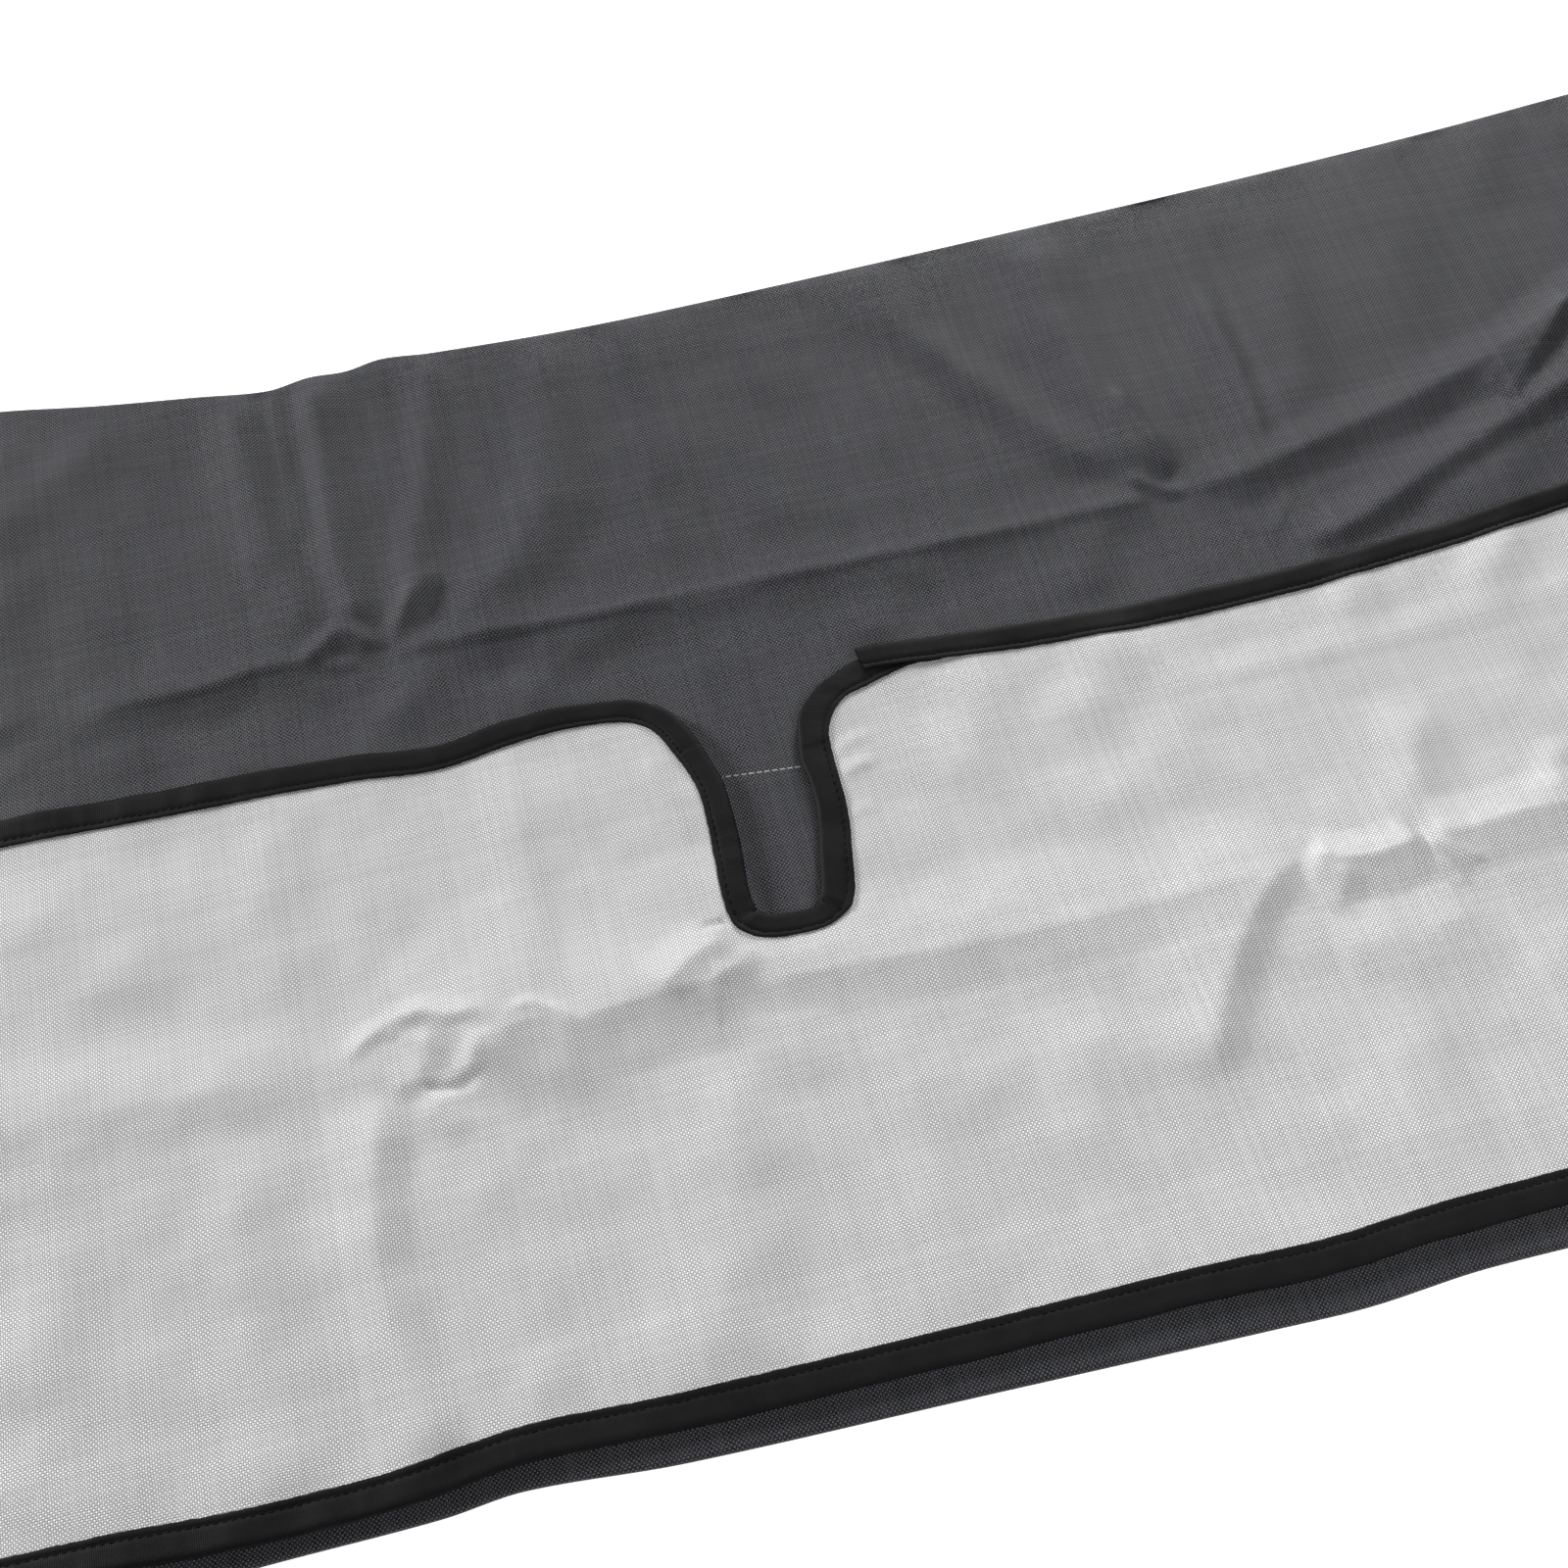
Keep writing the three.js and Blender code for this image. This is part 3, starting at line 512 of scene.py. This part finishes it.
def add_mesh(name, points, faces, face_materials, materials, flat=None):
    """A piece from points in millimetres from the datum, and its faces."""
    mesh = bpy.data.meshes.new(name)
    mesh.from_pydata(((points + DATUM) * MM).tolist(), [], [list(map(int, face)) for face in faces])
    for material in materials:
        mesh.materials.append(material)
    mesh.polygons.foreach_set("material_index", np.asarray(face_materials, dtype=np.int32))
    mesh.shade_smooth()
    mesh.set_sharp_from_angle(angle=math.radians(SHARP_ANGLE))
    if flat is not None:
        attribute = mesh.attributes.new("flat", "FLOAT_VECTOR", "POINT")
        attribute.data.foreach_set("vector", np.asarray(flat, dtype=np.float32).ravel())
    piece = bpy.data.objects.new(name, mesh)
    bpy.context.scene.collection.objects.link(piece)
    return piece


def add_sheet(name, grid, flat, materials):
    """A thin closed sheet round a grid of points; materials are its upper and its under side's."""
    rows, columns = grid.shape[:2]
    offset = row_normals(grid) * (CLOTH / 2)
    points = np.concatenate([(grid + offset).reshape(-1, 3), (grid - offset).reshape(-1, 3)])
    upper = grid_quads(rows, columns)
    under = grid_quads(rows, columns, rows * columns, flip=True)
    rim = rim_quads(rows, columns)
    faces = np.concatenate([upper, under, rim])
    face_materials = np.concatenate([np.zeros(len(upper)), np.ones(len(under)), np.zeros(len(rim))])
    both = np.concatenate([flat.reshape(-1, 3), flat.reshape(-1, 3)])
    return add_mesh(name, points, faces, face_materials, materials, both)


def body_piece(materials):
    """The dark body: its rolled sides and returns, and the layer on top."""
    columns = body_columns()
    grid_y, grid_z, first_top, last_top = body_rows(columns)
    grid_x = np.broadcast_to(columns, grid_y.shape)
    grid = np.stack([grid_x, grid_y, grid_z], axis=2)
    steps = np.hypot(np.diff(grid_y, axis=0), np.diff(grid_z, axis=0))
    across = grid_y.copy()
    for row in range(first_top - 1, -1, -1):
        across[row] = across[row + 1] + steps[row]
    for row in range(last_top + 1, len(grid_y)):
        across[row] = across[row - 1] - steps[row - 1]
    flat = np.stack([grid_x, across, np.zeros_like(across)], axis=2)
    return add_sheet("cover_body", grid, flat, materials)


def tail_piece(materials):
    """The bound tail, silver side up, with the turn that joins it to the body."""
    stations = tail_stations()
    grid_x, grid_y = tail_rows(stations)
    grid_z = tail_height(grid_x, grid_y)
    grid = np.stack([grid_x, grid_y, grid_z], axis=2)
    flat = np.stack([grid_x, grid_y, np.zeros_like(grid_x)], axis=2)
    above = grid[:, 0]
    below = above.copy()
    below[:, 2] = body_height(above[:, 0], above[:, 1])
    radius = (above[:, 2] - below[:, 2]) / 2
    turn, turn_flat = [], []
    for i in range(TURN_STEPS):
        angle = math.pi * i / TURN_STEPS
        line = (above + below) / 2
        line[:, 0] -= radius * math.sin(angle)
        line[:, 2] -= radius * math.cos(angle)
        turn.append(line)
        place = flat[:, 0].copy()
        place[:, 0] -= radius * (math.pi - angle)
        turn_flat.append(place)
    grid = np.concatenate([np.stack(turn, axis=1), grid], axis=1)
    flat = np.concatenate([np.stack(turn_flat, axis=1), flat], axis=1)
    return add_sheet("cover_tail", grid, flat, materials)


# Binding tape. Its section is a soft U over the edge: n is the distance in from the fold, for
# a tape 12 wide, and h the height over the middle of the cloth.
TAPE_SECTION = np.array([
    (12.0, 0.42), (12.0, 0.95), (11.7, 1.12), (10.9, 1.16), (10.2, 1.1), (9.7, 0.9), (9.4, 0.86),
    (9.1, 0.98), (8.5, 1.22), (7.2, 1.36), (5.6, 1.46), (4.2, 1.56), (3.0, 1.66), (2.0, 1.62),
    (1.1, 1.4), (0.45, 1.0), (0.1, 0.5), (0.0, 0.0), (0.1, -0.5), (0.5, -1.0), (1.3, -1.25),
    (4.0, -1.3), (8.0, -1.15), (12.0, -1.1), (12.0, -0.42), (1.4, -0.42), (1.4, 0.42),
])

# x and y of the tape's fold, then of its sewn side, from the turned end, round the notch, to
# its end beneath the other tape
NOTCH_TAPE = np.array([
    (-397.8, 55.8, -397.8, 44), (-293, 54.7, -293.5, 42.9), (-219, 52.3, -220, 40.6),
    (-163, 50.5, -163.5, 39), (-128, 46.6, -128, 35.6), (-100, 51.0, -99, 40.0),
    (-80, 51.6, -80, 41.4), (-62, 50.3, -64, 40.5), (-50, 48, -54, 38.6), (-43, 44.8, -48.5, 35.8),
    (-37, 40, -44.6, 32), (-32, 32.5, -41.8, 27.3), (-28.2, 24, -39.2, 21), (-25, 13, -36, 13.2),
    (-23, 3, -33.4, 3), (-22.5, -12, -33, -10), (-23, -30, -33.8, -28), (-23.9, -45, -34.5, -45),
    (-22.8, -51, -33.2, -55), (-20.3, -53.6, -29, -60), (-16.5, -54.6, -22, -63.4),
    (-12, -55.1, -14, -64.8), (-6, -55.5, -5.5, -65), (-1.2, -54.7, 1.5, -64.2), (1, -51.5, 7.5, -61.3),
    (2.2, -47.8, 12, -57.5), (3.2, -43.5, 15, -50), (5, -35, 17.2, -38), (7.5, -25, 19.4, -27),
    (9, -14, 20.6, -15), (9.1, -3, 20.7, -2), (8.1, 6, 21, 7), (9, 13.5, 21.7, 14.5),
    (11, 23, 24.2, 20.8), (14.2, 28.4, 27.4, 25.3), (18.5, 33, 31.5, 28.8), (23.5, 37.2, 36, 30.6),
    (30, 40, 41.5, 31.9), (37, 43, 47.5, 33.6), (45, 45.2, 54, 35.3), (56, 46.2, 63, 37),
    (66, 46, 71, 37.6),
])

# The tape to the right of the notch, which lies on the other's end
RIGHT_TAPE = np.array([
    (41.2, 49.2, 42.4, 38.8), (48, 49.1, 48.8, 38.4), (56, 48.7, 56.4, 37.9), (66, 48.0, 66, 37.0),
    (75, 47.3, 75, 36.3), (95, 45.9, 95, 34.6), (140, 43.3, 140, 31.6), (216, 43.7, 216, 32),
    (282, 48.5, 281.4, 36.8), (350, 55.8, 349.2, 44), (387, 59.4, 386.4, 47.4),
])

LOWER_TAPE = np.array([
    (x, y, x, y + 12.0) for x, y in [
        (386.6, -222.6), (320, -226), (228, -227.5), (173, -228.5), (136, -230.5), (90, -229),
        (14, -228.4), (-87, -227), (-142, -224.8), (-185, -228.5), (-230, -228.5), (-280, -225.5),
        (-397.8, -222.2),
    ]
])

END_TAPE = np.array([
    (400, 60, 388, 60), (400, 0, 388, 0), (400, -110, 388, -110), (400, -222, 388, -222),
])

# Small waves of the tape's sides and of its upper face: what is added to its seed, the length
# and the size of each
SIDE_WAVES = ((0, 30, 0.35), (5, 9, 0.12))
PUFF_WAVES = ((9, 14, 0.12), (13, 5, 0.06))
SIDE_SHARE = 0.4

# Its section is puffed most at the first inset and ragged past the second, and its points above
# the height are on its upper face
PUFF_MIDDLE = 5
RAGGED_FROM = 11.5
TOP_FROM = 0.5

# How the right tape lies up on the notch's end, as far as an x, and the end tape on the cloth
LAP_LIFT = 0.95
LAP_END = 90
LAP_EASE = 22
END_LIFT = 0.1

# Threads of the tape's weave, along it and across it
RIB_PITCH = 0.7
FINE_PITCH = 0.45

# The stitches, in the tape's groove, which all take their colour from one place on its material
STITCH_IN = 9.4
STITCH_PITCH = 3.0
STITCH_LENGTH = 2.3
STITCH_RADIUS = 0.24
STITCH_TAPER = 0.55
STITCH_LOW = 0.82
STITCH_ARCH = 0.22
STITCH_FLAT = (0.0, 30.0, 0.0)

# The pale line of sewing on the dark cloth within the notch
SEWN_LINE = ((-22.5, 7.8), (8.0, 5.0))
SEWN_WIDTH = 0.55
SEWN_COLOUR = (0.3, 0.3, 0.29, 1)

# Folds sewn into the tape at the notch's corners: the crease's ends, and how far the lap
# beside it stands up. LAP_WIDTH is the lap's, and GROOVE_WIDTH and GROOVE_SHARE the crease's.
LAP_WIDTH = 3.5
GROOVE_WIDTH = 0.55
GROOVE_SHARE = 1.2
TUCKS = [
    ((-23.0, -51.5), (-33.5, -57.5), 0.7),
    ((0.5, -52.0), (9.0, -59.5), 0.6),
    ((-9.0, -54.0), (-10.0, -65.5), 0.25),
    ((8.6, 10.0), (21.5, 12.0), 0.3),
    ((-27.5, 22.0), (-39.0, 20.0), 0.25),
]


def tuck_height(x, y):
    """A sharp groove along each tuck, with a soft lap on its left."""
    height = np.zeros_like(x)
    for (from_x, from_y), (to_x, to_y), lap in TUCKS:
        along_x, along_y = to_x - from_x, to_y - from_y
        length = math.hypot(along_x, along_y)
        share = clamp01(((x - from_x) * along_x + (y - from_y) * along_y) / length**2)
        distance = np.hypot(x - from_x - along_x * share, y - from_y - along_y * share)
        side = (along_x * (y - from_y) - along_y * (x - from_x)) / length
        on_lap = np.where(side > 0, np.exp(-distance / LAP_WIDTH), 0)
        height += lap * on_lap - GROOVE_SHARE * lap * np.exp(-((distance / GROOVE_WIDTH) ** 2))
    return height


def tape_stations(rows, spacing):
    points, walked = smooth_line(rows, 200 * len(rows))
    count = max(2, round(walked[-1] / spacing))
    wanted = np.linspace(0, walked[-1], count + 1)
    return np.array([np.interp(wanted, walked, column) for column in points.T]).T, wanted


def tape_piece(name, rows, materials, lift=None, spacing=1.5, serration=0.12, seed=1):
    """Tape along its stations, with the stitches that hold it."""
    stations, walked = tape_stations(rows, spacing)
    lift = np.zeros(len(stations)) if lift is None else lift(stations)
    fold, inner = stations[:, :2], stations[:, 2:]
    wander = soft_waves(walked, seed, SIDE_WAVES)
    puff = soft_waves(walked, seed, PUFF_WAVES)
    ragged = np.random.default_rng(seed).uniform(-serration, serration, len(stations))
    corners = len(TAPE_SECTION)
    points = np.zeros((len(stations), corners, 3))
    flat = np.zeros_like(points)
    for corner, (n, h) in enumerate(TAPE_SECTION):
        share = n / TAPE_WIDTH
        shift = wander * (1 - share) * SIDE_SHARE / TAPE_WIDTH
        if n > RAGGED_FROM:
            shift = shift + ragged / TAPE_WIDTH
        place = mix(fold, inner, (share + shift)[:, None])
        top = h > TOP_FROM
        rise = h + lift
        if top:
            rise = rise + puff * (1 - abs(n - PUFF_MIDDLE) / TAPE_WIDTH)
            rise = rise + tuck_height(place[:, 0], place[:, 1])
        points[:, corner] = np.column_stack([place, tail_height(place[:, 0], place[:, 1]) + rise])
        flat[:, corner] = np.column_stack([walked, np.full(len(walked), n if top else -n), 0 * walked])
    count = len(stations)
    number = np.arange(count * corners).reshape(count, corners)
    following = np.roll(number, -1, axis=1)
    faces = np.stack([number[:-1], number[1:], following[1:], following[:-1]], axis=2)
    faces = faces.reshape(-1, 4).tolist()
    faces += [number[0].tolist(), number[-1][::-1].tolist()]
    points = points.reshape(-1, 3)
    flat = flat.reshape(-1, 3)
    sewn_points, sewn_faces = stitches(stations, walked, lift, len(points))
    faces += sewn_faces
    flat = np.concatenate([flat, np.tile(STITCH_FLAT, (len(sewn_points), 1))])
    points = np.concatenate([points, sewn_points])
    return add_mesh(name, points, faces, np.zeros(len(faces)), materials, flat)


def stitches(stations, walked, lift, start):
    """Short lengths of thread in the tape's groove."""
    points, faces = [], []
    sides, rings = 6, 5
    places = np.arange(STITCH_PITCH, walked[-1] - STITCH_PITCH, STITCH_PITCH)
    share = STITCH_IN / TAPE_WIDTH
    line = mix(stations[:, :2], stations[:, 2:], share)
    for place in places:
        ends = place + np.linspace(-0.5, 0.5, rings) * STITCH_LENGTH
        x = np.interp(ends, walked, line[:, 0])
        y = np.interp(ends, walked, line[:, 1])
        up = np.interp(ends, walked, lift)
        middle = np.linspace(-1, 1, rings)
        z = tail_height(x, y) + up + STITCH_LOW + STITCH_ARCH * (1 - middle**2)
        radius = STITCH_RADIUS * (1 - STITCH_TAPER * middle**4)
        across = np.array([-(y[-1] - y[0]), x[-1] - x[0]])
        across = across / np.linalg.norm(across)
        first = start + len(points)
        for ring in range(rings):
            for side in range(sides):
                angle = 2 * math.pi * side / sides
                reach = radius[ring] * math.cos(angle)
                points.append((
                    x[ring] + across[0] * reach, y[ring] + across[1] * reach,
                    z[ring] + radius[ring] * math.sin(angle),
                ))
        for ring in range(rings - 1):
            for side in range(sides):
                a = first + ring * sides + side
                b = first + ring * sides + (side + 1) % sides
                faces.append([a, b, b + sides, a + sides])
        faces.append([first + side for side in range(sides)][::-1])
        faces.append([first + (rings - 1) * sides + side for side in range(sides)])
    return np.array(points), faces


def soft_noise(x, seed, length):
    """Smooth random wave from -1 to 1 along x, with humps about that length."""
    random = np.random.default_rng(seed)
    total = np.zeros_like(x, dtype=float)
    for _ in range(4):
        total += np.sin(2 * math.pi * x / (length * random.uniform(0.8, 2.2)) + random.uniform(0, 6.3))
    return total / 2.5


def soft_waves(x, seed, waves):
    return sum(soft_noise(x, seed + added, length) * size for added, length, size in waves)


class Graph:
    """Shorthand for a material's nodes."""

    def __init__(self, name):
        self.material = bpy.data.materials.new(name)
        self.material.use_nodes = True
        self.tree = self.material.node_tree
        self.shader = self.tree.nodes["Principled BSDF"]

    def node(self, kind, **settings):
        made = self.tree.nodes.new(kind)
        for key, value in settings.items():
            setattr(made, key, value)
        return made

    def plug(self, socket, value):
        if isinstance(value, bpy.types.NodeSocket):
            self.tree.links.new(value, socket)
        else:
            socket.default_value = value

    def math(self, operation, *values):
        made = self.node("ShaderNodeMath", operation=operation)
        for socket, value in zip(made.inputs, values):
            self.plug(socket, value)
        return made.outputs[0]

    def scaled(self, value, share, base=0.0):
        return self.math("MULTIPLY_ADD", value, share, base)

    def noise(self, place, scale, detail=2.0):
        made = self.node("ShaderNodeTexNoise")
        self.plug(made.inputs["Vector"], place)
        made.inputs["Scale"].default_value = scale
        made.inputs["Detail"].default_value = detail
        return made.outputs["Fac"]

    def mix(self, share, low, high):
        made = self.node("ShaderNodeMix", data_type="RGBA")
        self.plug(made.inputs["Factor"], share)
        self.plug(made.inputs["A"], low)
        self.plug(made.inputs["B"], high)
        return made.outputs["Result"]

    def bump(self, height, distance, strength=1.0):
        made = self.node("ShaderNodeBump")
        made.inputs["Distance"].default_value = distance
        made.inputs["Strength"].default_value = strength
        self.plug(made.inputs["Height"], height)
        return made.outputs["Normal"]


def weave_nodes(graph, place):
    """Height of the threads' crowns from 0 to 1, and 1 where the thread on top runs across."""
    parts = graph.node("ShaderNodeSeparateXYZ")
    graph.plug(parts.inputs[0], place)
    wander = graph.scaled(graph.noise(place, 0.05), 1.6, -0.8)
    along = graph.math("ADD", parts.outputs["X"], wander)
    across = graph.math("ADD", parts.outputs["Y"], wander)
    turn = math.pi / THREAD_PITCH
    wave = graph.math(
        "MULTIPLY",
        graph.math("SINE", graph.scaled(along, turn)),
        graph.math("SINE", graph.scaled(across, turn)),
    )
    crown = graph.math("POWER", graph.math("ABSOLUTE", wave), 0.6)
    over = graph.math("GREATER_THAN", wave, 0.0)
    return crown, over, parts.outputs["X"], parts.outputs["Y"]


def thread_shade(graph, along, across, over):
    """0 to 1, a random shade for each thread."""
    shades = []
    for position in (along, across):
        number = graph.math("FLOOR", graph.scaled(position, 1 / THREAD_PITCH))
        white = graph.node("ShaderNodeTexWhiteNoise", noise_dimensions="1D")
        graph.plug(white.inputs["W"], number)
        shades.append(white.outputs["Value"])
    chosen = graph.node("ShaderNodeMix", data_type="FLOAT")
    graph.plug(chosen.inputs["Factor"], over)
    graph.plug(chosen.inputs["A"], shades[0])
    graph.plug(chosen.inputs["B"], shades[1])
    return chosen.outputs["Result"]


def thread_line(graph, along, across, start, end):
    """1 on the stitches of a straight line of sewing, and 0 beside them."""
    slope = (end[1] - start[1]) / (end[0] - start[0])
    line = graph.scaled(along, slope, start[1] - slope * start[0])
    beside = graph.math("ABSOLUTE", graph.math("SUBTRACT", across, line))
    shown = graph.math("LESS_THAN", beside, SEWN_WIDTH / 2)
    for limit, side in ((start[0], "GREATER_THAN"), (end[0], "LESS_THAN")):
        shown = graph.math("MULTIPLY", shown, graph.math(side, along, limit))
    dashes = graph.math("SINE", graph.scaled(along, 2 * math.pi / STITCH_PITCH))
    return graph.math("MULTIPLY", shown, graph.math("GREATER_THAN", dashes, -0.5))


def cloth_material(name, gap_shade, thread, sheen_thread, metallic, roughness, specular, depth, sewn=None):
    """Coated plain weave: painted shade in the gaps between the threads, threads that vary a little in
    their own tone, and a painted sheen that lightens the upper set.
    """
    graph = Graph(name)
    place = graph.node("ShaderNodeAttribute", attribute_name="flat").outputs["Vector"]
    crown, over, along, across = weave_nodes(graph, place)
    shade = thread_shade(graph, along, across, over)
    mottle = graph.noise(place, 0.02, 4.0)
    # Painted sheen: the threads on top are lightened towards the sheen colour; each thread's random shade
    # and the mottle are the cloth's own tone
    sheen_and_tone = graph.math("ADD", graph.scaled(over, 0.75), graph.scaled(shade, 0.25))
    sheen_and_tone = graph.math("ADD", sheen_and_tone, graph.scaled(mottle, 0.2, -0.1))
    colour = graph.mix(sheen_and_tone, thread, sheen_thread)
    # Painted shade: where the crowns fall away between the threads, the colour darkens to the gaps' shade
    colour = graph.mix(crown, gap_shade, colour)
    if sewn is not None:
        colour = graph.mix(thread_line(graph, along, across, *sewn), colour, SEWN_COLOUR)
    graph.plug(graph.shader.inputs["Base Color"], colour)
    graph.shader.inputs["Metallic"].default_value = metallic
    graph.shader.inputs["Specular IOR Level"].default_value = specular
    graph.plug(graph.shader.inputs["Roughness"], graph.scaled(mottle, 0.12, roughness - 0.06))
    grain = graph.noise(place, 0.35, 3.0)
    height = graph.math("ADD", crown, graph.scaled(grain, 0.9))
    graph.plug(graph.shader.inputs["Normal"], graph.bump(height, depth))
    return graph.material


def tape_material():
    graph = Graph("binding_tape")
    place = graph.node("ShaderNodeAttribute", attribute_name="flat").outputs["Vector"]
    parts = graph.node("ShaderNodeSeparateXYZ")
    graph.plug(parts.inputs[0], place)
    rib = graph.math("SINE", graph.scaled(parts.outputs["X"], 2 * math.pi / RIB_PITCH))
    fine = graph.math("SINE", graph.scaled(parts.outputs["Y"], 2 * math.pi / FINE_PITCH))
    ribbed = graph.math("MULTIPLY_ADD", rib, 0.5, graph.scaled(fine, 0.3))
    mottle = graph.noise(place, 0.12, 4.0)
    colour = graph.mix(mottle, (0.0015, 0.0015, 0.0018, 1), (0.006, 0.006, 0.0066, 1))
    graph.plug(graph.shader.inputs["Base Color"], colour)
    graph.plug(graph.shader.inputs["Roughness"], graph.scaled(mottle, 0.2, 0.45))
    graph.shader.inputs["Specular IOR Level"].default_value = 0.09
    height = graph.math("ADD", ribbed, graph.scaled(mottle, 2.0))
    graph.plug(graph.shader.inputs["Normal"], graph.bump(height, 0.00006))
    return graph.material


def floor_piece():
    """A white floor just under the cover."""
    graph = Graph("studio_white")
    graph.shader.inputs["Base Color"].default_value = (0.9, 0.9, 0.9, 1)
    graph.shader.inputs["Roughness"].default_value = 0.9
    graph.shader.inputs["Emission Color"].default_value = (1, 1, 1, 1)
    graph.shader.inputs["Emission Strength"].default_value = 0.6
    bpy.ops.mesh.primitive_plane_add(size=FLOOR_SIZE, location=(0, 0, FLOOR_Z))
    floor = bpy.context.object
    floor.name = "floor"
    floor.data.materials.append(graph.material)
    return floor


def add_light(name, azimuth, elevation, distance, size, energy):
    lamp = bpy.data.lights.new(name, "AREA")
    lamp.size = size
    lamp.energy = energy
    light = bpy.data.objects.new(name, lamp)
    turn, rise = math.radians(azimuth), math.radians(elevation)
    light.location = distance * Vector((
        math.sin(turn) * math.cos(rise), math.cos(turn) * math.cos(rise), math.sin(rise)
    ))
    light.rotation_euler = light.location.to_track_quat("Z", "Y").to_euler()
    bpy.context.scene.collection.objects.link(light)


# Camera, above the cloth and a little in front and to the left: its place in metres, how far it
# tips off straight down and how far it turns to the right, in degrees
CAMERA_PLACE = (-0.11747, -0.34565, 0.67716)
CAMERA_TIP = 27
CAMERA_TURN = 14
camera_data = bpy.data.cameras.new("camera")
camera_data.lens = 45
camera_data.sensor_width = 36
camera = bpy.data.objects.new("camera", camera_data)
camera.location = CAMERA_PLACE
camera.rotation_euler = (math.radians(CAMERA_TIP), 0, math.radians(-CAMERA_TURN))
bpy.context.scene.collection.objects.link(camera)
bpy.context.scene.camera = camera

# Colours of each cloth, in order: the painted shade in its gaps, its threads, and its threads on top lit
# with a painted sheen
dark = cloth_material(
    "cloth_outer", (0.0015, 0.0015, 0.002, 1), (0.008, 0.0083, 0.0102, 1), (0.128, 0.13, 0.147, 1),
    metallic=0.0, roughness=0.45, specular=0.13, depth=0.00014, sewn=SEWN_LINE,
)
silver = cloth_material(
    "cloth_inner", (0.14, 0.14, 0.143, 1), (0.42, 0.42, 0.425, 1), (0.9, 0.9, 0.905, 1),
    metallic=0.12, roughness=0.54, specular=0.3, depth=0.00012,
)
tape = tape_material()

body = body_piece([dark, silver])
tail = tail_piece([silver, dark])
for piece in (body, tail):
    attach(piece, "root")
    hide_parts("cover_cloth")

tapes = [
    tape_piece("tape_notch", NOTCH_TAPE, [tape], seed=3, spacing=1.2),
    tape_piece(
        "tape_right", RIGHT_TAPE, [tape], seed=21,
        lift=lambda stations: LAP_LIFT * smooth(clamp01((LAP_END - stations[:, 0]) / LAP_EASE)),
    ),
    tape_piece("tape_lower", LOWER_TAPE, [tape], seed=41),
    tape_piece(
        "tape_end", END_TAPE, [tape], seed=61,
        lift=lambda stations: np.full(len(stations), END_LIFT),
    ),
]
for piece, node in zip(tapes, ("binding_notch", "binding_right", "binding_lower", "binding_end")):
    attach(piece, "root")
    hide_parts(node)

floor = floor_piece()

# Lights, by the compass direction and height that they come from, in degrees; 0 is behind the object
for name, azimuth, elevation, distance, size, energy in (
    ("back_left_key", 303, 17, 5.0, 1.1, 430),
    ("back_softbox", 26, 18, 5.0, 1.3, 240),
    ("front_right_softbox", 142, 50, 1.25, 0.7, 10),
):
    add_light(name, azimuth, elevation, distance, size, energy)

scene = bpy.context.scene
scene.view_settings.view_transform = "Standard"
world = bpy.data.worlds.new("studio")
world.use_nodes = True
world.node_tree.nodes["Background"].inputs["Color"].default_value = (1, 1, 1, 1)
world.node_tree.nodes["Background"].inputs["Strength"].default_value = 0.1
scene.world = world

bpy.context.view_layer.update()
